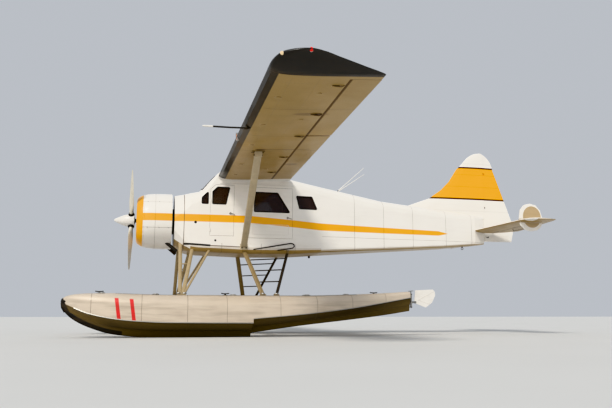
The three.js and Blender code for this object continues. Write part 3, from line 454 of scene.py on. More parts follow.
def wing_paint():
    look = Look("wing_paint", 0.36, 0.0, 0.15)
    c = look.a - WING_A
    under = look.below()
    # Surfaces that face down are tan, as painted shade; the marks of wing_marks lie over them.
    skin = look.mix(wing_marks(look, c) * under * 0.9, look.mix(under, WHITE, UNDERSIDE_SHADE), SEAM_AND_SHADE_TONE)
    # The ends of the flaps and ailerons are darkened as painted shade in their gaps.
    skin = look.mix(abs(look.ny).over(0.8, 0.1) * 0.85, skin, SEAM_AND_SHADE_TONE)
    colour = look.mix(black_edge(look), skin, BLACK)
    aft_skin = c.over(0.16)
    ribs = look.p.wrapped(RIB_STEP).under(0.0025) * 0.35
    spars = seams(c, (0.34, 0.72), 0.0025) * 0.45
    lines = seams(look.p, (STRUT_TOP_P + 0.04, MID_ARM, 5.42), 0.006).most(ribs).most(spars)
    rivets = look.p.wrapped(RIB_STEP).near(0.012, 0.004) * c.wrapped(0.05).under(0.004)
    return look.finish(colour, 0.24, lines * aft_skin, rivets * aft_skin)


def tip_paint():
    look = Look("tip_paint", 0.34, 0.0, 0.2)
    black = look.p.over(TIP_BLACK, 0.004).most(black_edge(look))
    worn_black = look.mix(look.noise(3), BLACK, linear(34, 31, 28))
    # The underside is tan: painted shade.
    colour = look.mix(black, look.mix(look.below(), WHITE, UNDERSIDE_SHADE), worn_black)
    return look.finish(colour, 0.1, seams(look.p, (TIP_BLACK,), 0.004))


def tail_paint():
    look = Look("tail_paint", 0.38)
    low, high, rim = 0.777, 1.557, 0.02
    band = look.mix(look.u.between(low, high), WHITE, GOLD)
    rims = look.u.near(low, rim).most(look.u.near(high, rim))
    colour = look.mix(rims, band, BORDER)
    ribs = seams(look.u, (0.48, 0.78, 1.08, 1.38, 1.66), 0.003)
    look.put("Specular IOR Level", 0.12)
    return look.finish(colour, 0.14, ribs * 0.6, rivet_rows(look.a, look.u, (0.48, 1.08, 1.66)))


def tailplane_marks(look):
    """A dark joint at the hinge, two soft dark patches beside it, and painted shade along the root, all
    below.
    """
    hinge = look.a.near(8.515, 0.026, 0.01) * look.p.under(1.99)
    inner = soft_spot(look.a - 8.5, look.p - 0.45, 0.1, 0.07)
    outer = soft_spot(look.a - 8.5, look.p - 1.22, 0.1, 0.07)
    # Painted shade along the root, where the tailplane meets the tail cone.
    root = look.p.under(0.18, 0.01)
    return hinge.most(inner.most(outer) * 0.8).most(root) * look.below() * 0.5


def tailplane_paint():
    look = Look("tailplane_paint", 0.38, 0.0, 0.12)
    # The underside's olive tan is painted shade.
    skin = look.mix(look.below(), WHITE, linear(164, 134, 78))
    leading = look.a - look.p * 0.062 - 7.985
    # Below, the tip's front is left white where the light falls on it: painted light.
    pale = leading.under(0.2, 0.02) * look.p.over(2.2, 0.02)
    finlet = look.p.near(2.0, 0.03) * abs(look.u + 0.01).over(0.045)
    round_a = (look.a - 8.43) * (1 / 0.215)
    round_u = (look.u - 0.075) * (1 / 0.235)
    # The finlets are white round a tan middle: the middle is painted shade, and the white rim is left lit.
    middle = (round_a * round_a + round_u * round_u).under(1, 0.1)
    colour = look.mix(pale.most(finlet), skin, WHITE)
    colour = look.mix(finlet * middle * 0.85, colour, UNDERSIDE_SHADE)
    colour = look.mix(tailplane_marks(look), colour, SEAM_AND_SHADE_TONE)
    ribs = look.p.wrapped(0.29).under(0.0025) * 0.5
    return look.finish(colour, 0.22, ribs.most(seams(look.a, (8.25,), 0.003) * 0.6))


def float_sides(look, side):
    """Pale sides with two slanted red stripes, and a rough walkway on the deck."""
    slant = look.a + (look.u + 1.9) * 0.15
    stripes = slant.near(-0.135, 0.034, 0.006).most(slant.near(0.135, 0.034, 0.006))
    sides = look.mix(stripes * look.nz.under(0.6, 0.1), FLOAT_SIDE, RED)
    tread = look.mix(look.cells(120).share(0.2, 0.6), linear(150, 142, 130), linear(106, 100, 92))
    walk = look.nz.over(0.9, 0.04) * look.a.between(-0.2, 4.6, 0.02) * abs(side).under(0.17, 0.006)
    return look.mix(walk, sides, tread)


def float_bottom(look, side):
    """A dark olive bottom, lighter towards the bow, partly its own tone and partly painted shade; darker
    still in its flutes, where the darkening is painted shade.
    """
    bottom = look.mix(look.a.share(-1.1, 1.2), linear(112, 91, 50), FLOAT_BOTTOM_AND_SHADE)
    # Painted shade in the flutes.
    flute_shade = abs(abs(side) - 0.21).share(0.13, 0.0) * look.a.over(-0.4, 0.3)
    return look.mix(flute_shade * 0.8, bottom, linear(40, 31, 14))


def float_paint():
    look = Look("float_paint", 0.4, 0.15, 0.1)
    side = look.p - FLOAT_P
    low = (look.u - look.a.bent(CHINE)).under(0.018, 0.006)
    colour = look.mix(low, float_sides(look, side), float_bottom(look, side))
    strip = abs(side).under(0.085, 0.006) * look.a.under(-0.05, 0.01) * low
    bow = look.a.under(-1.02 - (look.u + 1.95) * 0.5, 0.02) * look.a.under(-1.0)
    colour = look.mix(bow.most(strip), colour, BLACK)
    bays = (-0.62, 0.3, 1.15, 1.9, 2.95, 3.7, 4.45, 5.2)
    tide = look.noise(3, 5, (0.4, 1, 5)).share(0.45, 0.75) * look.u.between(-2.15, -1.75, 0.12)
    rivets = rivet_rows(look.u, look.a, bays, 0.05).most(rivet_rows(look.a, look.u, (-1.78,), 0.05, 0.0))
    return look.finish(look.mix(tide * 0.35, colour, GRIME), 0.34, seams(look.a, bays), rivets, 0.2)


def dimmed(colour, share):
    return (*(part * share for part in colour[:3]), 1)


def plain_paint(name, colour, roughness, metallic, dirt, coat, scale):
    """A paint or metal whose tone drifts a little over the surface."""
    look = Look(name, roughness, metallic, coat)
    return look.finish(look.mix(look.noise(scale, 4), dimmed(colour, 0.82), colour), dirt)


def ladder_paint():
    """The rear legs: a tan darkened as painted shade, but for the ladder's rungs and its rear rail."""
    look = Look("rear_leg_shade_and_rail_paint", 0.42, 0.0, 0.1)
    behind = look.a - 2.4 - (look.u + 0.7) * -0.28
    rail = (behind.over(0.062, 0.006) * look.u.under(-0.7, 0.01)) * look.u.over(-1.6, 0.01)
    legs = look.mix(look.noise(9, 4), linear(128, 108, 74), SHADED_LEG_TONE)
    return look.finish(look.mix(rail, legs, linear(44, 36, 26)), 0.3)


def hide_look():
    look = Look("seat_hide", 0.5)
    look.put("Sheen Weight", 0.15)
    grain = look.cells(170)
    look.bump(grain, 0.0012, 0.6)
    return look.finish(look.mix(look.noise(14, 5), HIDE, linear(98, 74, 56)), 0.15)


def tinted_glass():
    look = Look("tinted_glass", 0.05)
    smear = look.noise(7, 4, (1, 1, 2))
    look.link(look.mix(smear, GLASS_TONE, linear(70, 54, 48)), "Base Color")
    look.link(smear * 0.05 + 0.03, "Roughness")
    look.put("Alpha", 0.56)
    look.put("Specular IOR Level", 0.8)
    look.bump(look.noise(2.5, 1), 0.002, 0.25)
    return look.material


def lamp_look(name, colour, strength):
    look = Look(name, 0.12)
    ribs = look.z.wrapped(0.012).share(0, 0.006)
    tone = look.mix(ribs, dimmed(colour, 0.55), colour)
    look.link(tone, "Base Color")
    look.link(tone, "Emission Color")
    look.put("Emission Strength", strength)
    look.bump(ribs, 0.002, 0.6)
    return look.material


def dial_look():
    """Round gauges: a pale ring, ticks and a hand, in each 84 mm cell."""
    look = Look("dials", 0.3)
    cell = 0.084
    y = look.y.reckon("WRAP", cell / 2, -cell / 2)
    z = (look.u - 0.3).reckon("WRAP", cell / 2, -cell / 2)
    away = (y * y + z * z).reckon("SQRT")
    turn = z.reckon("ARCTAN2", y)
    face = away.under(0.034, 0.001)
    ticks = away.between(0.025, 0.031, 0.001) * turn.wrapped(math.tau / 12).under(0.07, 0.02)
    hand = (y - z).near(0, 0.0016, 0.001) * away.under(0.024)
    rim = away.near(0.036, 0.0022, 0.001)
    colour = look.mix(rim, PLASTIC, STEEL)
    colour = look.mix(face, colour, BLACK)
    look.link(look.mix((ticks + hand).clip(), colour, WHITE), "Base Color")
    look.bump(rim, 0.002)
    return look.material


# columns: look, material, colour, roughness, metallic, dirt, coat, scale of the tone's drift
PLAIN_PAINTS = (
    ("strut", "strut_paint", STRUT_TONE, 0.4, 0.0, 0.3, 0.1, 9),
    # The front float legs and the spreader bars are a darker tan than the wing struts: painted shade.
    ("front_leg", "front_leg_paint", linear(180, 160, 124), 0.42, 0.0, 0.3, 0.1, 9),
    ("white", "white_paint", WHITE, 0.32, 0.0, 0.16, 0.3, 9),
    ("spinner", "spinner_paint", WHITE, 0.22, 0.0, 0.12, 0.5, 9),
    ("blade", "blade_paint", BLADE_TONE, 0.34, 0.0, 0.22, 0.1, 9),
    ("black", "black_paint", BLACK, 0.45, 0.0, 0.1, 0.0, 9),
    ("rubber", "rubber", RUBBER, 0.75, 0.0, 0.15, 0.0, 40),
    ("steel", "steel", STEEL, 0.35, 0.9, 0.2, 0.0, 9),
    ("dark_steel", "dark_steel", DARK_STEEL, 0.5, 0.75, 0.25, 0.0, 9),
    ("aluminium", "aluminium", ALUMINIUM, 0.38, 0.85, 0.15, 0.0, 9),
    ("bronze", "heat_stained_steel", linear(122, 92, 66), 0.42, 0.85, 0.3, 0.0, 9),
    ("case", "crankcase_paint", linear(98, 104, 110), 0.45, 0.3, 0.3, 0.0, 9),
    ("plastic", "black_plastic", PLASTIC, 0.6, 0.0, 0.1, 0.0, 60),
    ("lining", "lining", LINING, 0.85, 0.0, 0.2, 0.0, 90),
)
# columns: look, colour, brightness
LAMPS = (
    ("red_lamp", linear(235, 30, 24), 0.35),
    ("green_lamp", linear(30, 190, 90), 0.3),
    ("clear_lamp", linear(255, 226, 180), 0.3),
    ("amber_lamp", linear(240, 130, 40), 0.3),
)
LOOKS = {
    "fuselage": fuselage_paint(),
    "belly": floor_paint(),
    "cowl": cowl_paint("cowl_paint", lambda look: look.mix(gold_stripe(look), WHITE, GOLD)),
    "cowl_gold": cowl_paint("cowl_gold_paint",
                            lambda look: look.mix(look.noise(4), GOLD, linear(246, 174, 4))),
    "wing": wing_paint(),
    "tip": tip_paint(),
    "tail": tail_paint(),
    "tailplane": tailplane_paint(),
    "float": float_paint(),
    "ladder": ladder_paint(),
    "hide": hide_look(),
    "glass": tinted_glass(),
    "dials": dial_look(),
    **{look: plain_paint(*values) for look, *values in PLAIN_PAINTS},
    **{look: lamp_look(look, colour, strength) for look, colour, strength in LAMPS},
}


# Meshes
class Piece:
    """One shown mesh, gathered from shapes. A shape has the piece's own look, or one that it names."""

    def __init__(self, name, look):
        self.name = name
        self.look = look
        self.points = []
        self.faces = []
        self.face_looks = []

    def add(self, points, faces, look=None):
        start = len(self.points)
        self.points += [tuple(point) for point in points]
        self.faces += [tuple(corner + start for corner in face) for face in faces]
        self.face_looks += [look or self.look] * len(faces)

    def skin(self, rings, look=None, capped=True, closed=True):
        """A skin through rings of equally many points."""
        count = len(rings[0])
        sides = count if closed else count - 1
        faces = []
        for ring in range(len(rings) - 1):
            for side in range(sides):
                here = ring * count + side
                after = ring * count + (side + 1) % count
                faces.append((here, after, after + count, here + count))
        if capped:
            faces.append(tuple(range(count - 1, -1, -1)))
            last = (len(rings) - 1) * count
            faces.append(tuple(range(last, last + count)))
        self.add([point for ring in rings for point in ring], faces, look)

    def turned(self, profile, centre, axis, steps, look=None, closed=False):
        """A profile of (along, radius) pairs turned about an axis."""
        along = Vector(axis).normalized()
        across = along.orthogonal().normalized()
        third = along.cross(across)
        rings = []
        for step in range(steps):
            turn = math.tau * step / steps
            out = across * math.cos(turn) + third * math.sin(turn)
            rings.append([Vector(centre) + along * far + out * radius for far, radius in profile])
        rings.append(rings[0])
        self.skin(rings, look, False, closed)

    def on_shaft(self, profile, steps, look=None):
        """A profile of (a, radius) pairs turned about the propeller's shaft."""
        self.turned([(-a, radius) for a, radius in profile], HUB, AHEAD, steps, look)

    def rod(self, start, end, radius, sides=14, look=None, end_radius=None):
        start, end = Vector(start), Vector(end)
        axis = end - start
        last = radius if end_radius is None else end_radius
        profile = [(0, 0), (0, radius), (axis.length, last), (axis.length, 0)]
        self.turned(profile, start, axis, sides, look)

    def pipe(self, path, radius, sides, look=None):
        """A tube along points, with flat ends."""
        path = [Vector(point) for point in path]
        rings = []
        across = (path[1] - path[0]).orthogonal().normalized()
        for index, point in enumerate(path):
            before = path[max(index - 1, 0)]
            after = path[min(index + 1, len(path) - 1)]
            along = (after - before).normalized()
            across = (across - along * across.dot(along)).normalized()
            third = along.cross(across)
            rings.append([point + (across * math.cos(math.tau * side / sides)
                                   + third * math.sin(math.tau * side / sides)) * radius
                          for side in range(sides)])
        self.skin(rings, look)

    def slab(self, centre, half, look=None, turn=None):
        """A box of the given half sizes, turned about its centre."""
        turn = turn or Matrix.Identity(3)
        corners = [Vector(centre) + turn @ Vector((x * half[0], y * half[1], z * half[2]))
                   for x in (-1, 1) for y in (-1, 1) for z in (-1, 1)]
        sides = [(0, 1, 3, 2), (4, 6, 7, 5), (0, 4, 5, 1), (2, 3, 7, 6), (0, 2, 6, 4), (1, 5, 7, 3)]
        self.add(corners, sides, look)

    def done(self, body, replaces, angle, bevel=0.0, level=0):
        """The finished mesh, with its materials, attached to its body; any nodes that it replaces are hidden.
        """
        mesh = bpy.data.meshes.new(self.name)
        mesh.from_pydata(self.points, [], self.faces)
        looks = list(dict.fromkeys(self.face_looks))
        for look in looks:
            mesh.materials.append(LOOKS[look])
        mesh.polygons.foreach_set("material_index", [looks.index(look) for look in self.face_looks])
        work = bmesh.new()
        work.from_mesh(mesh)
        bmesh.ops.remove_doubles(work, verts=work.verts, dist=1e-6)
        bmesh.ops.dissolve_degenerate(work, edges=work.edges, dist=1e-7)
        bmesh.ops.recalc_face_normals(work, faces=work.faces)
        work.to_mesh(mesh)
        work.free()
        piece = bpy.data.objects.new(self.name, mesh)
        bpy.context.scene.collection.objects.link(piece)
        dress(piece, angle, bevel, level)
        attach(piece, body)
        if replaces:
            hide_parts(*replaces)
        return piece


def dress(piece, angle=35, bevel=0.0, level=0):
    """Smooth shading up to an angle, with rounded edges where a width is given."""
    piece.data.shade_smooth()
    if level:
        subdivided = piece.modifiers.new("subdivided", "SUBSURF")
        subdivided.levels = subdivided.render_levels = level
    if bevel:
        rounded = piece.modifiers.new("rounded", "BEVEL")
        rounded.width = bevel
        rounded.segments = 2
        rounded.limit_method = "ANGLE"
        rounded.angle_limit = math.radians(40)
    if not level:
        piece.data.set_sharp_from_angle(angle=math.radians(angle))
        weighted = piece.modifiers.new("even_shading", "WEIGHTED_NORMAL")
        weighted.keep_sharp = True
        weighted.weight = 80


def repaint(node, look):
    """A CAD node that stays gets its material and shading."""
    piece = frame["nodes"][node]
    piece.data.materials.clear()
    piece.data.materials.append(LOOKS[look])
    dress(piece)


def smooth_rows(rows, count):
    """More rows between a table's rows, on a curve that never overshoots them."""
    table = np.array(rows, float)
    places = table[:, 0]
    steps = np.diff(places)
    slopes = np.diff(table, axis=0) / steps[:, None]
    tangents = np.zeros_like(table)
    for column in range(table.shape[1]):
        for row in range(1, len(table) - 1):
            before, after = slopes[row - 1, column], slopes[row, column]
            if before * after > 0:
                tangents[row, column] = 2 * before * after / (before + after)
        tangents[0, column] = slopes[0, column]
        tangents[-1, column] = slopes[-1, column]
    made = []
    for place in np.linspace(places[0], places[-1], count):
        row = min(int(np.searchsorted(places, place, side="right")) - 1, len(steps) - 1)
        t = (place - places[row]) / steps[row]
        made.append(table[row] * (1 + 2 * t) * (1 - t) ** 2 + tangents[row] * steps[row] * t * (1 - t) ** 2
                    + table[row + 1] * t * t * (3 - 2 * t) + tangents[row + 1] * steps[row] * t * t * (t - 1))
    return made


# Float pieces
KEEL_HALF = 0.015
KEEL_LIFT = 0.007


def float_half(row):
    """The outboard half of a float's section, from keel to deck, as (p, u) pairs."""
    a, keel, chine, half, deck, shoulder = row
    keel = keel + KEEL_LIFT
    start = min(KEEL_HALF, half * 0.3)
    rise = chine - keel
    outline = [(start, keel)]
    crease = 0.52
    for step in range(1, 9):
        t = step / 8
        part = t / crease if t <= crease else (t - crease) / (1 - crease)
        scallop = 0.13 * math.sin(math.pi * min(part, 1))
        outline.append((start + t * (half - start), keel + rise * (t + scallop)))
    outline.append((half + 0.004, chine + 0.012))
    outline.append((half - 0.002, chine + 0.03))
    for step in range(7):
        turn = step / 6 * math.pi / 2
        outline.append((half - shoulder + shoulder * math.cos(turn),
                        deck - shoulder + shoulder * math.sin(turn)))
    outline.append(((half - shoulder) * 0.5, deck + 0.011))
    return a, outline


def float_ring(row):
    a, outline = float_half(row)
    deck = row[4]
    port = [at(a, p, u) for p, u in outline]
    starboard = [at(a, -p, u) for p, u in reversed(outline)]
    return [*port, at(a, 0, deck + 0.014), *starboard]


def shifted(points, p):
    return [Vector(point) + Vector((0, p, 0)) for point in points]


FORE_ROWS = smooth_rows(FLOAT_FRONT, 44)


def add_float_hull(side, word):
    rows = FORE_ROWS + smooth_rows(FLOAT_REAR, 30)
    hull = Piece(f"float_hull_{word}", "float")
    hull.skin([shifted(float_ring(row), side * FLOAT_P) for row in rows])
    hull.done("airframe", [f"float_{word}"], 28)


def keel_strips(trim, centre):
    """A wide black strip along the keel under the bow, and a thin dark one from there to the step."""
    overlap = 0.05
    for low, high, wide, look in ((-1.18, -0.05, 0.024, "black"),
                                  (-0.05, STEP_A - 0.01, 0.012, "dark_steel")):
        rings = []
        for a, keel, _, half, _, _ in FORE_ROWS:
            if low - overlap <= a <= high + overlap:
                reach = min(wide, half * 0.5)
                rings.append([at(a, centre - reach, keel + 0.012), at(a, centre - reach * 0.8, keel),
                              at(a, centre + reach * 0.8, keel), at(a, centre + reach, keel + 0.012)])
        trim.skin(rings, look)


def bow_bumper(trim, centre):
    """A rubber tube wraps the bow, and another runs down its front."""
    bow = []
    for step in range(13):
        turn = (step / 12 - 0.5) * math.pi
        bow.append(at(-1.085 - 0.085 * math.cos(turn), centre + 0.108 * math.sin(turn), -1.765))
    trim.pipe(bow, 0.023, 12, "rubber")
    front = ((-1.155, -1.74), (-1.172, -1.8), (-1.16, -1.88), (-1.108, -1.965))
    trim.pipe([at(a, centre, u) for a, u in front], 0.02, 12, "rubber")


def spray_rails(trim, centre):
    """Rails along both chines, thicker ahead of the step."""
    fore = [row for row in FORE_ROWS if row[0] > -0.95]
    for edge in (-1, 1):
        for rows, gap, radius in ((fore, 0.006, 0.011), (smooth_rows(FLOAT_REAR, 20), 0.003, 0.008)):
            rail = [at(row[0], centre + edge * (row[3] + gap), row[2] + 0.012) for row in rows]
            trim.pipe(rail, radius, 8)


def deck_covers(trim, centre):
    """Round inspection covers, each with its ring and cap, in pairs but for the last."""
    cover = [(0, 0), (0, 0.062), (0.01, 0.062), (0.014, 0.055), (0.014, 0.046), (0.02, 0.042), (0.022, 0)]
    pair = (-0.1, 0.1)
    for a, deck, shifts in ((-0.45, -1.604, pair), (0.55, -1.622, pair), (2.05, -1.628, pair),
                            (3.55, -1.622, pair), (4.4, -1.601, (0.0,))):
        for shift in shifts:
            trim.turned(cover, at(a, centre + shift, deck - 0.006), UPWARD, 28)


def deck_cleats(trim, centre):
    """Horn cleats, each on a post and a foot plate."""
    for a, base in ((-0.5, -1.625), (1.9, -1.65), (5.0, -1.61)):
        post = at(a, centre, base + 0.02)
        trim.rod(post, post + Vector((0, 0, 0.034)), 0.017, 14, "dark_steel")
        horn = []
        for step in range(9):
            t = step / 8 * 2 - 1
            horn.append(at(a + t * 0.078, centre, base + 0.05 + 0.008 * t * t))
        trim.pipe(horn, 0.0095, 10, "dark_steel")
        trim.slab(at(a, centre, base + 0.022), (0.05, 0.026, 0.004), "dark_steel")


def gudgeons(trim, centre):
    """The two eyes that hold the water rudder's steering post."""
    eye = [(0, 0.0112), (0, 0.024), (0.016, 0.024), (0.016, 0.0112), (0, 0.0112)]
    for low in (-1.59, -1.86):
        trim.slab(at(STERN_A + 0.012, centre, low + 0.008), (0.03, 0.02, 0.008), "dark_steel")
        trim.turned(eye, at(STERN_A + 0.05, centre, low), UPWARD, 24, "dark_steel", True)


def add_float_trim(side, word):
    trim = Piece(f"float_trim_{word}", "aluminium")
    for shape in (keel_strips, bow_bumper, spray_rails, deck_covers, deck_cleats, gudgeons):
        shape(trim, side * FLOAT_P)
    trim.done("airframe", (), 40)


# Fuselage sections
# columns: a, half width, bottom u, top u, top corner radius, bottom corner radius
FUSELAGE = (
    (0.9, 0.575, -0.58, 0.57, 0.56, 0.56),
    (1.09, 0.6, -0.655, 0.585, 0.44, 0.35),
    (1.24, 0.612, -0.678, 0.6, 0.3, 0.15),
    (1.41, 0.62, -0.686, 0.625, 0.25, 0.13),
    (1.8, 0.62, -0.695, 1.02, 0.06, 0.13),
    (2.4, 0.62, -0.715, 1.04, 0.06, 0.13),
    (3.42, 0.62, -0.7, 0.955, 0.14, 0.12),
    (4.1, 0.556, -0.65, 0.852, 0.215, 0.09),
    (5.6, 0.415, -0.552, 0.606, 0.24, 0.08),
    (7.2, 0.312, -0.445, 0.446, 0.19, 0.07),
    (8.0, 0.212, -0.366, 0.368, 0.13, 0.06),
    (8.3, 0.066, -0.33, 0.345, 0.05, 0.04),
)


def section(a):
    table = np.array(FUSELAGE)
    return [float(np.interp(a, table[:, 0], table[:, column])) for column in range(1, 6)]


def side_point(a, u, proud=0.0):
    """The port skin's place at a height, on the flat or on its corners."""
    half, bottom, top, upper, lower = section(a)
    p = half
    if u > top - upper:
        rise = min((u - (top - upper)) / upper, 1)
        p = half - upper + upper * math.sqrt(1 - rise * rise)
    elif u < bottom + lower:
        drop = min((bottom + lower - u) / lower, 1)
        p = half - lower + lower * math.sqrt(1 - drop * drop)
    return at(a, p + proud, u)


def mirror(points, side):
    return [Vector((point[0], point[1] * side, point[2])) for point in points]


def along_outline(corners, radius):
    """An outline's (a, u) points, with each corner rounded."""
    steps = 5
    made = []
    count = len(corners)
    for index, corner in enumerate(corners):
        here = Vector(corner)
        before = (Vector(corners[index - 1]) - here).normalized()
        after = (Vector(corners[(index + 1) % count]) - here).normalized()
        half = before.angle(after) / 2
        reach = radius / math.tan(half)
        start, end = here + before * reach, here + after * reach
        for step in range(steps + 1):
            t = step / steps
            made.append(start * (1 - t) ** 2 + here * 2 * t * (1 - t) + end * t * t)
    return made


def dense(outline, longest=0.12):
    made = []
    for index, point in enumerate(outline):
        after = outline[(index + 1) % len(outline)]
        pieces = max(1, math.ceil((after - point).length / longest))
        made += [point.lerp(after, step / pieces) for step in range(pieces)]
    return made


# Panes, as (a, u) corners
CREW_WINDOW = ((1.69, 0.34), (1.97, 0.34), (2.045, 0.7), (1.79, 0.7), (1.69, 0.6))
CABIN_WINDOW = ((2.595, 0.2), (3.37, 0.2), (3.1, 0.62), (2.595, 0.62))
QUARTER_WINDOW = ((1.465, 0.34), (1.59, 0.34), (1.59, 0.59), (1.465, 0.465))
REAR_WINDOW = ((3.6, 0.3), (4.0, 0.3), (3.88, 0.57), (3.53, 0.57))


def grown(outline, distance):
    """An outline with its edges moved out by a distance."""
    count = len(outline)
    area = sum(outline[i][0] * outline[(i + 1) % count][1] - outline[(i + 1) % count][0] * outline[i][1]
               for i in range(count))
    turn = 1 if area > 0 else -1
    made = []
    for index, corner in enumerate(outline):
        here = Vector(corner)
        into = (here - Vector(outline[index - 1])).normalized()
        away = (Vector(outline[(index + 1) % count]) - here).normalized()
        first = Vector((into.y, -into.x)) * turn
        second = Vector((away.y, -away.x)) * turn
        middle = (first + second).normalized()
        made.append(here + middle * (distance / middle.dot(first)))
    return made


SEAL_HALF = 0.011
SEAL_PROUD = 0.002


def window_seal(piece, outline, side):
    """A rubber seal that lies round a pane's hole, half over the skin."""
    path = dense(along_outline(grown(outline, SEAL_HALF * 0.25), 0.02))
    rings = []
    for index, point in enumerate(path):
        along = (path[(index + 1) % len(path)] - path[index - 1]).normalized()
        out = Vector((along.y, -along.x))
        ring = []
        for step in range(8):
            turn = math.tau * step / 8
            shift = out * (SEAL_HALF * math.cos(turn))
            proud = SEAL_PROUD + 0.006 * math.sin(turn)
            ring.append(side_point(point.x + shift.x, point.y + shift.y, proud))
        rings.append(mirror(ring, side))
    rings.append(rings[0])
    piece.skin(rings, "rubber", capped=False)


def door_handle(piece, a, u, side):
    """A lever on a round boss."""
    boss = [(0, 0), (0, 0.026), (0.006, 0.026), (0.012, 0.018), (0.02, 0.012), (0.02, 0)]
    piece.turned(boss, mirror([side_point(a, u, -0.001)], side)[0], (0, side, 0), 24, "aluminium")
    lever = [side_point(a - 0.015 + 0.028 * step, u - 0.002 * step * step, 0.022 - 0.001 * step)
             for step in range(5)]
    piece.pipe(mirror(lever, side), 0.0075, 10, "aluminium")


def add_window_seals(side, word):
    fixed = Piece(f"window_seals_{word}", "rubber")
    window_seal(fixed, QUARTER_WINDOW, side)
    window_seal(fixed, REAR_WINDOW, side)
    fixed.done("airframe", (), 50)


def add_crew_door_trim(side, word):
    crew = Piece(f"crew_door_trim_{word}", "rubber")
    window_seal(crew, CREW_WINDOW, side)
    door_handle(crew, 2.07, 0.14, side)
    crew.done(f"crew_door_unit_{word}", (), 50)


def add_cabin_door_trim(side, word):
    cabin = Piece(f"cabin_door_trim_{word}", "rubber")
    window_seal(cabin, CABIN_WINDOW, side)
    door_handle(cabin, 3.33, 0.08, side)
    # A stiffening panel is pressed into the door below its window.
    panel = dense(along_outline(((2.56, -0.3), (3.35, -0.3), (3.35, -0.08), (2.56, -0.08)), 0.03))
    edge = [side_point(point.x, point.y, 0.001) for point in [*panel, panel[0]]]
    cabin.pipe(mirror(edge, side), 0.004, 8, "white")
    cabin.done(f"cabin_door_unit_{word}", (), 50)


# Engine, cowl and propeller
def spoke(turn):
    """A direction out from the shaft, and the one square to it."""
    return Vector((0, math.cos(turn), math.sin(turn))), Vector((0, -math.sin(turn), math.cos(turn)))


def spokes(count, shift=0, start=0.0):
    """Spokes evenly round the shaft, moved on by a share of a step."""
    return [spoke(start + math.tau * (step + shift) / count) for step in range(count)]


def oval(half_long, half_high, radius, count):
    """A round section for a ring about the shaft."""
    turns = [step * math.tau / count for step in range(count)]
    return [(half_long * math.cos(turn), radius + half_high * math.sin(turn)) for turn in turns]


def add_cowl_ring():
    lip = [(0.118, 0.415), (0.1125, 0.43), (0.1125, 0.45), (0.12, 0.472), (0.135, 0.494), (0.158, 0.514),
           (0.187, 0.532), (0.215, 0.546), (0.2445, 0.557)]
    back = [(0.2445, 0.54), (0.19, 0.512), (0.15, 0.474), (0.13, 0.436)]
    ring = Piece("cowl_front_ring", "cowl_gold")
    ring.on_shaft(lip, 96)
    # The ring's inner face is black, as painted shade in the cowl's mouth.
    ring.on_shaft([lip[-1], *back, lip[0]], 96, "black")
    ring.done("airframe", ["cowl_ring"], 40)


def cowl_fasteners(cowl):
    """Domed studs along the hatches' edges on both sides."""
    stud = [(-0.002, 0), (-0.002, 0.011), (0.002, 0.011), (0.004, 0.006), (0.003, 0)]
    for side in (-1, 1):
        for u in (-0.2, 0.36):
            for a, radius in ((0.34, 0.592), (0.58, 0.603), (0.78, 0.603)):
                p = side * math.sqrt(radius * radius - u * u)
                cowl.turned(stud, at(a, p, u), Vector((0, p, u)).normalized(), 16, "aluminium")


def add_cowl_shell():
    outer = [(0.2453, 0.557), (0.29, 0.571), (0.34, 0.584), (0.4, 0.592), (0.48, 0.598), (0.58, 0.602),
             (0.7, 0.603), (0.78, 0.602), (0.85, 0.6)]
    inner = [(0.85, 0.592), (0.7, 0.594), (0.48, 0.589), (0.34, 0.574), (0.2453, 0.545)]
    cowl = Piece("cowl_shell", "cowl")
    cowl.on_shaft(outer, 96)
    # The shell's inner face is black, as painted shade inside the cowl.
    cowl.on_shaft([outer[-1], *inner, outer[0]], 96, "black")
    # Flat straps bind the cowl's halves together.
    for a, radius in ((0.27, 0.5655), (0.83, 0.6015)):
        strap = [(0, radius), (0, radius + 0.0035), (0.022, radius + 0.0025), (0.022, radius)]
        cowl.turned(strap, at(a + 0.011, 0, 0), AHEAD, 96, closed=True)
    cowl_fasteners(cowl)
    cowl.done("airframe", ["cowling"], 40)


def add_exhausts():
    rim = [(0.0, 0.0), (0.0, 0.03), (0.002, 0.03), (0.003, 0.036), (-0.012, 0.038), (-0.02, 0.036)]
    pipes = Piece("exhaust_outlets", "dark_steel")
    for side in (-1, 1):
        start = at(0.72, side * 0.3, -0.47)
        path = [start.lerp(at(0.97, side * 0.335, -0.675), step / 8) for step in range(9)]
        end = path[-1]
        along = (path[-1] - path[-2]).normalized()
        pipes.pipe(path, 0.036, 20)
        pipes.turned(rim, end, along, 24)
        # A black disc in each pipe's mouth is painted shade for the pipe's dark inside.
        pipes.turned([(0.0035, 0), (0.0035, 0.029)], end, along, 24, "black")
    pipes.done("airframe", (), 40)


CYLINDERS = 9
CYLINDER_BASE = at(0.38, 0, 0)


def crankcase(engine):
    """The case from its nose to the firewall, with a ring of studs on the nose."""
    case = [(0.0815, 0), (0.0815, 0.038), (0.1, 0.042), (0.112, 0.06), (0.118, 0.098), (0.15, 0.128),
            (0.19, 0.15), (0.24, 0.166), (0.3, 0.203), (0.56, 0.205), (0.58, 0.278),
            (0.899, 0.278), (0.899, 0)]
    engine.on_shaft(case, 48, "case")
    for out, _ in spokes(18):
        start = at(0.118, 0, 0) + out * 0.085
        engine.rod(start, start + Vector((0.013, 0, 0)), 0.0065, 6, "steel")


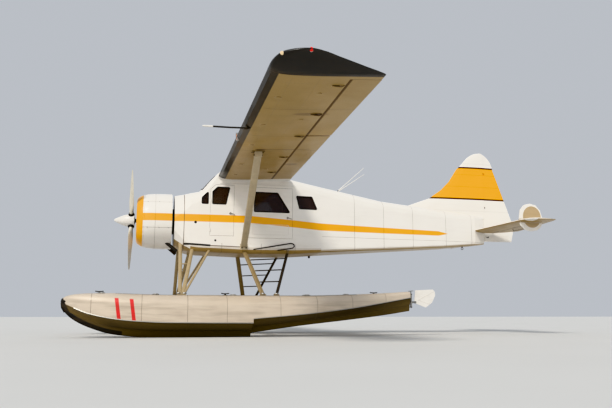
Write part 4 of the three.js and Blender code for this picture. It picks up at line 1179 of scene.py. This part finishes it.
def finned_barrel():
    """A cylinder's outline, with thin fins on the barrel and wider ones on the head."""
    outline = [(0.17, 0), (0.17, 0.096), (0.205, 0.096), (0.205, 0.07)]
    place = 0.215
    for end, step, root, rim, crest, foot in ((0.405, 0.0125, 0.07, 0.086, 0.004, 0.005),
                                              (0.5, 0.0135, 0.076, 0.096, 0.005, 0.006)):
        while place < end:
            outline += [(place, root), (place + 0.001, rim), (place + crest, rim), (place + foot, root)]
            place += step
    return [*outline, (0.505, 0.076), (0.53, 0.06), (0.535, 0)]


def cylinder_fittings(engine, out, across):
    """Rocker boxes, push rod tubes, plugs, and a lead from a plug to the ignition ring."""
    turned = Matrix((Vector(AHEAD), across, out)).transposed()
    for lean in (-1, 1):
        box = CYLINDER_BASE + out * 0.5 + across * (lean * 0.062) + Vector((0.045, 0, 0))
        foot = at(0.2, 0, 0) + out * 0.15 + across * (lean * 0.03)
        plug = CYLINDER_BASE + out * 0.47 + across * (lean * 0.085)
        engine.slab(box, (0.052, 0.026, 0.024), "case", turned)
        engine.rod(box + Vector((0.045, 0, 0)) - out * 0.01, foot, 0.0095, 10, "aluminium")
        engine.rod(plug, plug + across * (lean * 0.03) + out * 0.012, 0.008, 8, "steel")
    lead = [CYLINDER_BASE + out * far + across * aside + Vector((ahead, 0, 0))
            for far, aside, ahead in ((0.47, 0.085, 0.02), (0.43, 0.1, 0.07), (0.3, 0.06, 0.13))]
    engine.pipe([*lead, at(0.215, 0, 0) + out * 0.2 + across * 0.02], 0.006, 8, "black")


def add_engine():
    engine = Piece("radial_engine", "dark_steel")
    crankcase(engine)
    for out, across in spokes(CYLINDERS, 0, math.pi / 2):
        engine.turned(finned_barrel(), CYLINDER_BASE, out, 20)
        cylinder_fittings(engine, out, across)
    # The ignition ring goes round ahead of the cylinders, a baffle closes the gaps between them, and the
    # exhaust collector lies behind.
    engine.turned(oval(0.006, 0.011, 0.2, 8), at(0.21, 0, 0), AHEAD, 64, "aluminium", True)
    baffle = [(0, 0.19), (0, 0.572), (-0.006, 0.572), (-0.006, 0.19)]
    engine.turned(baffle, at(0.428, 0, 0), AHEAD, 72, "black", True)
    engine.turned(oval(0.03, 0.03, 0.42, 12), at(0.56, 0, 0), AHEAD, 64, "bronze", True)
    engine.done("airframe", ["engine"], 40)


BLADE_ANGLES = (54.7, 174.7, -65.3)
# columns: radius, chord, thickness, blade angle in degrees
BLADE = (
    (0.16, 0.086, 0.084, 50),
    (0.24, 0.092, 0.07, 47),
    (0.34, 0.138, 0.046, 43),
    (0.55, 0.172, 0.028, 31),
    (0.8, 0.17, 0.019, 23),
    (1.05, 0.135, 0.012, 18),
    (1.15, 0.108, 0.009, 16.5),
    (1.185, 0.08, 0.007, 16),
    (1.199, 0.035, 0.005, 16),
)


def blade_ring(row, out, ahead):
    """A blade's section, flatter on its rear face away from the root."""
    radius, chord, thick, angle = row
    pitch = math.radians(angle)
    chordway = ahead * math.cos(pitch) + Vector(AHEAD) * math.sin(pitch)
    through = out.cross(chordway)
    flat = min(max((radius - 0.24) / 0.15, 0), 1)
    sides = 20
    ring = []
    for side in range(sides):
        around = math.tau * side / sides
        lift = math.sin(around)
        if lift < 0:
            lift *= 1 - 0.55 * flat
        ring.append(HUB + out * radius + chordway * (chord / 2 * math.cos(around))
                    + through * (thick / 2 * lift))
    return ring


def add_blades():
    collar = [(0, 0.044), (0, 0.056), (0.012, 0.056), (0.012, 0.044)]
    hub = [(0.08, 0), (0.08, 0.095), (-0.055, 0.095), (-0.08, 0.06), (-0.08, 0)]
    blades = Piece("propeller_blades", "blade")
    for degrees in BLADE_ANGLES:
        out, ahead = spoke(math.radians(degrees))
        blades.skin([blade_ring(row, out, ahead) for row in smooth_rows(BLADE, 26)])
        blades.rod(HUB + out * 0.06, HUB + out * 0.165, 0.044, 28, "steel")
        for far in (0.148, 0.168):
            blades.turned(collar, HUB + out * far, out, 32, "dark_steel", True)
    blades.turned(hub, HUB, AHEAD, 40, "dark_steel")
    blades.done("propeller_unit", ["propeller"], 40)


def add_spinner():
    """A pointed shell on a back plate, with a seal round each blade and a ring of screws."""
    shell = [(-0.3605, 0), (-0.358, 0.01), (-0.35, 0.021), (-0.33, 0.034), (-0.3, 0.05), (-0.25, 0.074),
             (-0.195, 0.098), (-0.14, 0.117), (-0.09, 0.131), (-0.04, 0.1405), (0.01, 0.147), (0.06, 0.1505)]
    plate = [(0.0601, 0.1505), (0.0601, 0.154), (0.066, 0.154), (0.066, 0.04)]
    seal = [(0.134, 0.05), (0.15, 0.052), (0.153, 0.064), (0.142, 0.067), (0.134, 0.064)]
    cone = Piece("spinner_shell", "spinner")
    cone.on_shaft(shell, 72)
    cone.on_shaft(plate, 72, "aluminium")
    for degrees in BLADE_ANGLES:
        cone.turned(seal, HUB, spoke(math.radians(degrees))[0], 32, "rubber", True)
    for out, _ in spokes(12, 0.5):
        head = at(0.045, 0, 0) + out * 0.1488
        cone.turned([(0, 0), (0, 0.005), (0.002, 0.004), (0.002, 0)], head, out, 10, "aluminium")
    cone.done("propeller_unit", ["spinner"], 40)


# Wings
def foil(x, thick=FOIL_THICK):
    """Upper and lower heights of the wing's section at a share of its chord."""
    half = 5 * thick * (0.2969 * math.sqrt(x) - 0.126 * x - 0.3516 * x ** 2 + 0.2843 * x ** 3
                        - 0.1015 * x ** 4)
    peak = 0.4
    front = (2 * peak * x - x * x) / peak ** 2
    rear = (1 - 2 * peak + 2 * peak * x - x * x) / (1 - peak) ** 2
    line = FOIL_BENT * (front if x < peak else rear)
    return line + half, line - half


def wing_place(c, s, h, side):
    """A place in a wing's own frame: c aft of its leading edge, s along it, h over its chord line."""
    y = s * math.cos(DIHEDRAL) - h * math.sin(DIHEDRAL)
    z = s * math.sin(DIHEDRAL) + h * math.cos(DIHEDRAL)
    return Vector((PROP_X - WING_A - c, side * y, THRUST_Z + WING_U + z))


def under_wing(c, s, side, proud=0.0):
    return wing_place(c, s, foil(c / CHORD)[1] * CHORD - proud, side)


# columns: s, c of the leading edge, c of the trailing edge, thickness share, droop
WING_TIP = (
    (WING_END + 0.0003, 0, CHORD, 0.16, 0),
    (6.87, 0.001, 1.584, 0.16, 0),
    (6.93, 0.006, 1.49, 0.158, -0.006),
    (7.0, 0.02, 1.325, 0.152, -0.016),
    (7.08, 0.048, 1.14, 0.145, -0.03),
    (7.15, 0.088, 0.97, 0.135, -0.044),
    (7.22, 0.18, 0.8, 0.12, -0.058),
    (7.27, 0.28, 0.69, 0.1, -0.068),
    (7.305, 0.39, 0.58, 0.085, -0.075),
)


def cosine_shares(steps):
    """Shares of a chord, closest together at its ends."""
    return [0.5 - 0.5 * math.cos(math.pi * step / steps) for step in range(steps + 1)]


def add_wing_tip(side, word):
    shares = cosine_shares(24)
    rings = []
    for s, start, end, thick, droop in smooth_rows(WING_TIP, 22):
        chord = end - start
        upper = [(start + x * chord, foil(x, thick)[0] * chord - droop) for x in reversed(shares)]
        lower = [(start + x * chord, foil(x, thick)[1] * chord - droop) for x in shares[1:-1]]
        rings.append([wing_place(c, s, h, side) for c, h in [*upper, *lower]])
    tip = Piece(f"wing_tip_shell_{word}", "tip")
    tip.skin(rings)
    tip.done("airframe", [f"wing_tip_{word}"], 50)


def add_tip_lamps(side, word):
    """A coloured lamp on its ring at the tip, and a clear one ahead of it."""
    glass = [(0, 0.0), (0, 0.026), (0.012, 0.028), (0.03, 0.024), (0.042, 0.012), (0.044, 0)]
    ring = [(-0.01, 0.03), (0.004, 0.031), (0.006, 0.027), (-0.01, 0.026)]
    clear = [(-0.01, 0.0), (-0.01, 0.026), (0.012, 0.025), (0.028, 0.018), (0.036, 0)]
    outward = (0.15, side, 0)
    place = wing_place(0.46, 7.262, 0.083, side)
    lamp = Piece(f"tip_lamp_{word}", "red_lamp" if side > 0 else "green_lamp")
    lamp.turned(glass, place, outward, 20)
    lamp.turned(ring, place, outward, 20, "aluminium", True)
    lamp.turned(clear, wing_place(0.115, 7.155, 0.05, side), (1, 0.75 * side, 0), 20, "clear_lamp")
    lamp.done("airframe", (), 50)


def hinge_brackets(fittings, side):
    """A slim bracket on a foot plate, under the wing at each hinge."""
    for s in (1.35, 2.6, MID_ARM, OUTER_ARM, 6.45):
        bracket = [under_wing(c, s, side, proud)
                   for c, proud in ((0.94, 0.0), (1.0, 0.014), (1.08, 0.018), (1.125, 0.0))]
        fittings.pipe(bracket, 0.011, 8, "wing")
        fittings.slab(under_wing(1.0, s, side, 0.003), (0.05, 0.018, 0.004), "dark_steel")


def access_covers(fittings, side):
    cover = [(-0.004, 0), (-0.004, 0.055), (0.002, 0.055), (0.0035, 0.05), (0.0035, 0)]
    for c, places in ((0.3, (1.1, 2.0, 3.4, 4.6, 5.9)), (0.85, (1.6, 4.9, 6.1))):
        for s in places:
            fittings.turned(cover, under_wing(c, s, side), (0, 0, -1), 28, "wing")


def landing_light(fittings, side):
    """A reflector in the leading edge and its glass, amber to port and clear to starboard."""
    nose = wing_place(0.012, 3.58, 0.008, side)
    beam = (1, 0, -0.12)
    reflector = [(-0.03, 0.0), (-0.03, 0.07), (0.004, 0.075), (0.01, 0.066), (0.0, 0.06), (-0.012, 0.0)]
    fittings.turned(reflector, nose, beam, 32, "aluminium")
    glass = "amber_lamp" if side > 0 else "clear_lamp"
    fittings.turned([(0.003, 0.062), (0.006, 0.03), (0.0065, 0)], nose, beam, 32, glass)


def add_wing_fittings(side, word):
    fittings = Piece(f"wing_fittings_{word}", "dark_steel")
    hinge_brackets(fittings, side)
    access_covers(fittings, side)
    # Two beads frame the place where the strut meets the wing.
    bead = [under_wing(0.36 + 0.24 * step / 6, STRUT_TOP_P, side, 0.004) for step in range(7)]
    for shift in (-0.05, 0.05):
        fittings.pipe(shifted(bead, shift), 0.006, 8)
    landing_light(fittings, side)
    fittings.done("airframe", (), 45)


def add_probe():
    """The air-speed probe ahead of the port wing, on a bent mast."""
    s = 4.38
    head = [(-0.02, 0.0), (-0.02, 0.017), (0.1, 0.016), (0.14, 0.011), (0.15, 0.007), (0.15, 0)]
    tip = wing_place(-0.5, s, -0.08, 1)
    probe = Piece("air_speed_probe", "dark_steel")
    probe.pipe([under_wing(0.11, s, 1, 0.0), under_wing(0.06, s, 1, 0.025), wing_place(-0.02, s, -0.075, 1),
                wing_place(-0.2, s, -0.08, 1), tip], 0.014, 12)
    probe.turned(head, tip, AHEAD, 18, "white")
    probe.slab(under_wing(0.1, s, 1, 0.003), (0.035, 0.022, 0.004))
    probe.done("airframe", (), 45)


def add_root_fairing(side, word):
    """A rolled fillet closes the wing's root against the cabin, above and below."""
    fairing = Piece(f"wing_root_fairing_{word}", "white")
    for face, out in ((0, 1), (1, -1)):
        rings = []
        for x in cosine_shares(24):
            c = 0.01 + x * (CHORD - 0.02)
            h = foil(min(c / CHORD, 1))[face] * CHORD
            rings.append([wing_place(c, s, h + out * rise, side)
                          for s, rise in ((0.6205, -0.004), (0.6205, 0.034), (0.634, 0.016), (0.66, 0.004),
                                          (0.68, -0.001))])
        fairing.skin(rings, capped=False, closed=False)
    fairing.done("airframe", (), 60)


# Struts and small fittings
def deck_collar(ends, centre):
    """A collar with four bolts where a float leg meets the deck."""
    collar = [(0, 0.0), (0, 0.05), (0.008, 0.05), (0.012, 0.04), (0.03, 0.034), (0.03, 0)]
    ends.turned(collar, centre, UPWARD, 24)
    for step in range(4):
        turn = math.tau * (step + 0.5) / 4
        bolt = centre + Vector((math.cos(turn), math.sin(turn), 0)) * 0.04
        ends.rod(bolt + Vector((0, 0, 0.006)), bolt + Vector((0, 0, 0.018)), 0.007, 6, "dark_steel")


def add_strut_ends(side, word):
    """Pins at the wing strut's ends, and the float legs' collars."""
    ends = Piece(f"strut_ends_{word}", "aluminium")
    pins = [(at(a, side * 0.655, -0.6), at(a, side * 0.7, -0.6)) for a in (2.37 - 0.045, 2.37 + 0.045)]
    pins.append((at(2.2, side * 2.99, 0.885), at(2.365, side * 2.99, 0.885)))
    for start, end in pins:
        ends.rod(start, end, 0.014, 12, "dark_steel")
    for a in (0.985, 1.1, 2.66, 2.935):
        deck_collar(ends, at(a, side * FLOAT_P, -1.606))
    ends.done("airframe", (), 40, 0.003)


# columns: a, u, distance out from the cabin's side
BOARDING_RAIL = (
    (2.585, -0.63, 0.0), (2.62, -0.622, 0.04), (2.9, -0.572, 0.052), (3.2, -0.517, 0.052),
    (3.38, -0.485, 0.052), (3.43, -0.487, 0.052), (3.462, -0.515, 0.052), (3.467, -0.55, 0.052),
    (3.43, -0.583, 0.052), (3.36, -0.598, 0.052), (3.16, -0.63, 0.04), (3.11, -0.636, 0.0),
)


def add_cabin_fittings(side, word):
    """The boarding rail under the cabin door, a filler cap, a drain, and a rain channel over the doors."""
    small = Piece(f"cabin_fittings_{word}", "dark_steel")
    rail = [at(a, 0.618 + out, u) for a, u, out in BOARDING_RAIL]
    small.pipe(mirror(rail, side), 0.012, 12)
    for a, u, radius in ((1.336, -0.07, 0.028), (1.76, -0.45, 0.022)):
        cap = [(-0.002, 0), (-0.002, radius), (0.004, radius), (0.006, radius * 0.8), (0.004, 0)]
        small.turned(cap, mirror([side_point(a, u)], side)[0], (0, side, 0), 24, "black")
    gutter = [side_point(1.84 + 0.07 * step, 0.79, 0.006) for step in range(24)]
    small.pipe(mirror(gutter, side), 0.007, 8, "white")
    small.done("airframe", (), 45)


def add_antennas():
    """Two whips on one foot, and a small blade antenna on the roof."""
    whips = Piece("whip_antennas", "white")
    for p, tip in ((0.03, (5.27, 0.06, 1.41)), (-0.03, (5.34, -0.12, 1.3))):
        base = at(4.57, p, 0.775)
        end = at(*tip)
        whips.rod(base, base.lerp(end, 0.12), 0.014, 12, "rubber", 0.009)
        whips.rod(base.lerp(end, 0.1), end, 0.009, 10, end_radius=0.005)
    whips.slab(at(4.57, 0, 0.779), (0.06, 0.06, 0.008), "aluminium")
    blade = [at(a, 0, u) for a, u in ((3.0, 1.0), (3.16, 1.0), (3.15, 1.2), (3.1, 1.2))]
    whips.add([*shifted(blade, 0.007), *shifted(blade, -0.007)],
              [(0, 1, 2, 3), (7, 6, 5, 4), (0, 4, 5, 1), (1, 5, 6, 2), (2, 6, 7, 3), (3, 7, 4, 0)])
    whips.done("airframe", (), 45)


def add_belly_fittings():
    """A short pipe under the cabin's rear end, and a tie-down ring under the tail."""
    belly = Piece("belly_fittings", "dark_steel")
    belly.rod(at(4.06, -0.45, -0.63), at(4.06, -0.45, -0.7), 0.024)
    belly.rod(at(7.75, 0, -0.38), at(7.75, 0, -0.42), 0.012, 12)
    turns = [math.tau * step / 16 for step in range(17)]
    belly.pipe([at(7.75 + 0.026 * math.cos(turn), 0, -0.437 + 0.026 * math.sin(turn)) for turn in turns],
               0.006, 8)
    belly.done("airframe", (), 45)


def add_rudder_fittings():
    """A control horn on each side, and a small round fitting on the trailing edge."""
    horns = Piece("rudder_fittings", "dark_steel")
    for side in (-1, 1):
        horns.slab(at(8.4, side * 0.07, -0.16), (0.012, 0.05, 0.006))
        horns.rod(at(8.4, side * 0.108, -0.17), at(8.4, side * 0.108, -0.14), 0.009, 10)
    horns.rod(at(9.125, 0, 0.02), at(9.165, 0, 0.02), 0.014, 14, "aluminium")
    horns.done("rudder_body", (), 45)


def add_elevator_fittings():
    """A horn and a push rod for the tab on each side."""
    tabs = Piece("elevator_fittings", "dark_steel")
    for side in (-1, 1):
        foot = at(8.62, side * 0.9, -0.09)
        tabs.rod(at(8.6, side * 0.9, -0.035), foot, 0.006, 8)
        tabs.rod(foot, at(8.9, side * 0.9, -0.035), 0.004, 8)
    tabs.done("elevator_body", (), 45)


RUDDER_HINGE_A = 8.35
RUDDER_EDGE_HALF = 0.0036
# columns: u, a of the trailing edge
RUDDER_TOP = ((1.5, 8.643), (1.6, 8.622), (1.68, 8.594), (1.75, 8.556), (1.81, 8.509), (1.855, 8.464),
              (1.89, 8.42), (1.912, 8.388), (1.92, 8.372))


def rudder_ring(u, trailing):
    """The rudder's section: a round nose on the hinge, then sides that thin to the trailing edge."""
    radius = 0.0405 - (u + 0.25) / 2.09 * 0.013
    turns = [math.pi * step / 16 for step in range(1, 9)]
    half = [(RUDDER_HINGE_A - radius * math.cos(turn), radius * math.sin(turn)) for turn in turns]
    for step in range(1, 9):
        share = step / 8
        thin = radius * (1 - 0.5 * share) * (1 - share) + RUDDER_EDGE_HALF * share
        half.append((RUDDER_HINGE_A + (trailing - RUDDER_HINGE_A) * share, max(thin, RUDDER_EDGE_HALF)))
    nose = (RUDDER_HINGE_A - radius, 0)
    return [at(a, p, u) for a, p in [nose, *half]] + [at(a, -p, u) for a, p in reversed(half)]


def add_rudder_top():
    """The rudder's top, rounded in one line with the fin."""
    top = Piece("rudder_top", "tail")
    top.skin([rudder_ring(u, trailing) for u, trailing in RUDDER_TOP])
    top.done("rudder_body", (), 50)


# Water rudders
WATER_BLADE = ((5.905, -1.728), (5.93, -1.5), (6.33, -1.48), (6.375, -1.53), (6.38, -1.61), (6.3, -1.76),
               (6.16, -1.86), (5.925, -1.772), (5.905, -1.76))
WATER_BLADE_HALF = 0.0059


def add_water_rudder(side, word):
    """A plate with pressed ribs that spread from its pivot, and a boss over the pivot."""
    centre = side * FLOAT_P
    outline = along_outline(WATER_BLADE, 0.013)
    count = len(outline)
    faces = [(i, (i + 1) % count, count + (i + 1) % count, count + i) for i in range(count)]
    faces += [tuple(range(count)), tuple(range(2 * count - 1, count - 1, -1))]
    plate = Piece(f"water_rudder_plate_{word}", "white")
    plate.add([at(point.x, centre + half, point.y)
               for half in (-WATER_BLADE_HALF, WATER_BLADE_HALF) for point in outline], faces)
    boss = [(0, 0), (0, 0.024), (0.004, 0.022), (0.004, 0)]
    for face in (-1, 1):
        level = centre + face * 0.0055
        for a, u in ((6.33, -1.53), (6.25, -1.79)):
            plate.rod(at(5.985, level, -1.7), at(a, level, u), 0.0065, 10)
        plate.turned(boss, at(5.92, centre + face * 0.0065, -1.75), (0, face, 0), 24, "dark_steel")
    plate.done(f"water_rudder_plate_{word}", [f"water_rudder_blade_{word}"], 40)


# Cabin inside
def pad_block(half_long, half_wide, half_thick):
    """A plain pad, smaller than the finished one, with rounded edges."""
    work = bmesh.new()
    bmesh.ops.create_cube(work, size=2)
    bmesh.ops.scale(work, vec=(half_long, half_wide, half_thick), verts=work.verts)
    bmesh.ops.bevel(work, geom=work.edges[:], offset=half_thick * 0.55, segments=4, profile=0.5,
                    affect="EDGES")
    mesh = bpy.data.meshes.new("pad")
    work.to_mesh(mesh)
    work.free()
    pad = bpy.data.objects.new("pad", mesh)
    bpy.context.scene.collection.objects.link(pad)
    return pad


def evaluated(thing):
    return bpy.data.meshes.new_from_object(thing.evaluated_get(bpy.context.evaluated_depsgraph_get()))


def swelled(pad, cap):
    """The pad blown up as cloth, with no point moved further than the cap."""
    remesh = pad.modifiers.new("even", "REMESH")
    remesh.mode = "VOXEL"
    remesh.voxel_size = 0.006
    mesh = evaluated(pad)
    pad.modifiers.clear()
    pad.data = mesh
    start = [vertex.co.copy() for vertex in mesh.vertices]
    cloth = pad.modifiers.new("cloth", "CLOTH")
    cloth.settings.use_pressure = True
    cloth.settings.uniform_pressure_force = 4
    cloth.settings.tension_stiffness = 12
    cloth.settings.effector_weights.gravity = 0
    for number in range(1, 21):
        bpy.context.scene.frame_set(number)
    blown = evaluated(pad)
    pad.modifiers.clear()
    bpy.context.scene.frame_set(1)
    places = []
    for before, vertex in zip(start, blown.vertices):
        move = vertex.co - before
        if move.length > cap:
            move *= cap / move.length
        places.append(before + move)
    return places, [tuple(face.vertices) for face in mesh.polygons]


# columns: name, centre (a, u), half length, half width, half thickness, tilt in degrees
CUSHIONS = (
    ("seat_cushion", 1.845, -0.105, 0.2, 0.2, 0.05, 2),
    ("back_cushion", 2.066, 0.16, 0.245, 0.2, 0.036, 80.5),
)


def grooved(place, half_long):
    """A point of the pad, sunk where one of the two sewn channels runs along its upper face."""
    groove = math.exp(-((abs(place.y) - 0.072) / 0.0065) ** 2)
    sink = 0.007 * groove if place.z > 0 and abs(place.x) < half_long * 0.86 else 0
    return Vector((place.x, place.y, place.z - sink))


def piping(half_long, half_wide, level):
    """A line round the pad with rounded corners."""
    rim = []
    for step in range(65):
        around = math.tau * step / 64
        s = math.copysign(abs(math.cos(around)) ** 0.3, math.cos(around))
        t = math.copysign(abs(math.sin(around)) ** 0.3, math.sin(around))
        rim.append(Vector((s * half_long * 0.965, t * half_wide * 0.965, level)))
    return rim


def add_cushions():
    for name, a, u, half_long, half_wide, half_thick, tilt in CUSHIONS:
        turn = math.radians(tilt)
        along = Vector((-math.cos(turn), 0, math.sin(turn)))
        up = Vector((math.sin(turn), 0, math.cos(turn)))
        pad = pad_block(half_long * 0.955, half_wide * 0.955, half_thick * 0.66)
        places, faces = swelled(pad, 0.014)
        bpy.data.objects.remove(pad)
        for side, word in LEFT_RIGHT:
            centre = at(a, side * 0.3, u)

            def placed(spot):
                return centre + along * spot.x + Vector((0, spot.y, 0)) + up * spot.z

            cushion = Piece(f"{name}_{word}", "hide")
            cushion.add([placed(grooved(place, half_long)) for place in places], faces)
            # Piping follows both edges of the side panel.
            for level in (-1, 1):
                rim = piping(half_long, half_wide, level * half_thick * 0.5)
                cushion.pipe([placed(spot) for spot in rim], 0.0045, 6)
            piece = cushion.done("airframe", (), 60, 0.0, 1)
            if name == "seat_cushion":
                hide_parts(f"seat_pad_{word}")


def add_cockpit():
    """The gauges' face on the panel, and three knobs low on it."""
    cockpit = Piece("cockpit_fittings", "dials")
    panel_face = 1.4294
    corners = ((-0.48, 0.09), (0.48, 0.09), (0.48, 0.39), (-0.48, 0.39))
    cockpit.add([at(panel_face, p, u) for p, u in corners], [(0, 1, 2, 3)])
    knob = [(0, 0), (0, 0.012), (0.014, 0.015), (0.024, 0.01), (0.026, 0)]
    for p in (-0.05, 0.0, 0.05):
        end = at(1.49, p, 0.155)
        cockpit.rod(at(1.43, p, 0.14), end, 0.006, 10, "aluminium")
        cockpit.turned(knob, end, (-1, 0, 0.2), 16, "plastic")
    cockpit.done("airframe", (), 45)


def roof_point(a, p, side, proud):
    """The upper skin's place over (a, p), on the flat or on its rounded edge."""
    half, _, top, upper, _ = section(a)
    u = top
    inset = p - (half - upper)
    if inset > 0:
        u = top - upper + math.sqrt(max(upper * upper - inset * inset, 0))
    return at(a, side * p, u + proud)


def add_windshield_trim():
    """A seal round each of the two front panes."""
    pane = ((1.46, 0.03), (1.74, 0.03), (1.74, 0.52), (1.46, 0.52))
    trim = Piece("windshield_trim", "rubber")
    for side in (-1, 1):
        path = dense(along_outline(pane, 0.03), 0.05)
        trim.pipe([roof_point(point.x, point.y, side, 0.002) for point in [*path, path[0]]], 0.009, 8)
    trim.done("airframe", (), 50)


SIDED_NODES = {
    "fuselage": ("cabin_side", "crew_door", "cabin_door"),
    "glass": ("crew_door_window", "cabin_door_window", "quarter_window", "rear_window"),
    "wing": ("wing", "flap", "aileron"),
    "tailplane": ("tailplane", "elevator"),
    "aluminium": ("seat_frame",),
    "strut": ("wing_strut",),
    "front_leg": ("front_float_struts",),
    "ladder": ("rear_float_struts",),
    "steel": ("water_rudder_post",),
    "white": ("water_rudder_blade",),
}
SINGLE_NODES = {
    "fuselage": ("cabin_roof", "windshield_frame", "nose_section", "tail_cone"),
    "belly": ("cabin_floor",),
    "glass": ("windshield_glass",),
    "lining": ("rear_bulkhead",),
    "plastic": ("instrument_panel",),
    "tail": ("fin", "rudder"),
    "steel": ("elevator_tube",),
    "front_leg": ("front_spreader_bar", "rear_spreader_bar"),
}


def paint_nodes():
    for look, names in SIDED_NODES.items():
        for name in names:
            for _, word in LEFT_RIGHT:
                repaint(f"{name}_{word}", look)
    for look, names in SINGLE_NODES.items():
        for name in names:
            repaint(name, look)


# Floor and light
def add_floor():
    reach = 160
    corners = [(-reach, -reach, 0), (reach, -reach, 0), (reach, reach, 0), (-reach, reach, 0)]
    floor = bpy.data.meshes.new("studio_floor")
    floor.from_pydata(corners, [], [(0, 1, 2, 3)])
    look = Look("studio_floor", 0.85)
    look.link(look.mix(look.noise(0.4, 2), linear(214, 214, 212), linear(208, 208, 206)), "Base Color")
    floor.materials.append(look.material)
    ground = bpy.data.objects.new("studio_floor", floor)
    bpy.context.scene.collection.objects.link(ground)


def add_sky():
    world = bpy.data.worlds.new("studio")
    world.use_nodes = True
    sky = world.node_tree.nodes["Background"]
    sky.inputs["Color"].default_value = linear(226, 231, 238)
    sky.inputs["Strength"].default_value = 0.7
    bpy.context.scene.world = world


def add_sun(name, energy, degrees, colour, toward):
    """A distant light that shines toward a direction, softer for a wider angle."""
    data = bpy.data.lights.new(name, "SUN")
    data.energy = energy
    data.angle = math.radians(degrees)
    data.color = colour
    light = bpy.data.objects.new(name, data)
    light.rotation_euler = Vector(toward).to_track_quat("-Z", "Y").to_euler()
    bpy.context.scene.collection.objects.link(light)


def both_sides(*makers):
    for side, word in LEFT_RIGHT:
        for maker in makers:
            maker(side, word)


paint_nodes()
both_sides(add_float_hull, add_float_trim)
add_cowl_ring()
add_cowl_shell()
add_exhausts()
add_engine()
add_blades()
add_spinner()
both_sides(add_window_seals, add_crew_door_trim, add_cabin_door_trim)
add_windshield_trim()
both_sides(add_wing_tip, add_tip_lamps)
both_sides(add_wing_fittings)
add_probe()
both_sides(add_root_fairing)
both_sides(add_strut_ends)
both_sides(add_cabin_fittings)
add_antennas()
add_belly_fittings()
add_rudder_fittings()
add_elevator_fittings()
add_rudder_top()
both_sides(add_water_rudder)
add_cushions()
add_cockpit()
add_floor()
add_sky()
add_sun("key_light", 2.3, 14, (1.0, 0.955, 0.88), (-0.55, -0.75, -0.9))
add_sun("low_fill", 0.85, 50, (1.0, 0.93, 0.84), (-0.3, -0.95, 0.06))
bpy.context.scene.view_settings.view_transform = "Khronos PBR Neutral"
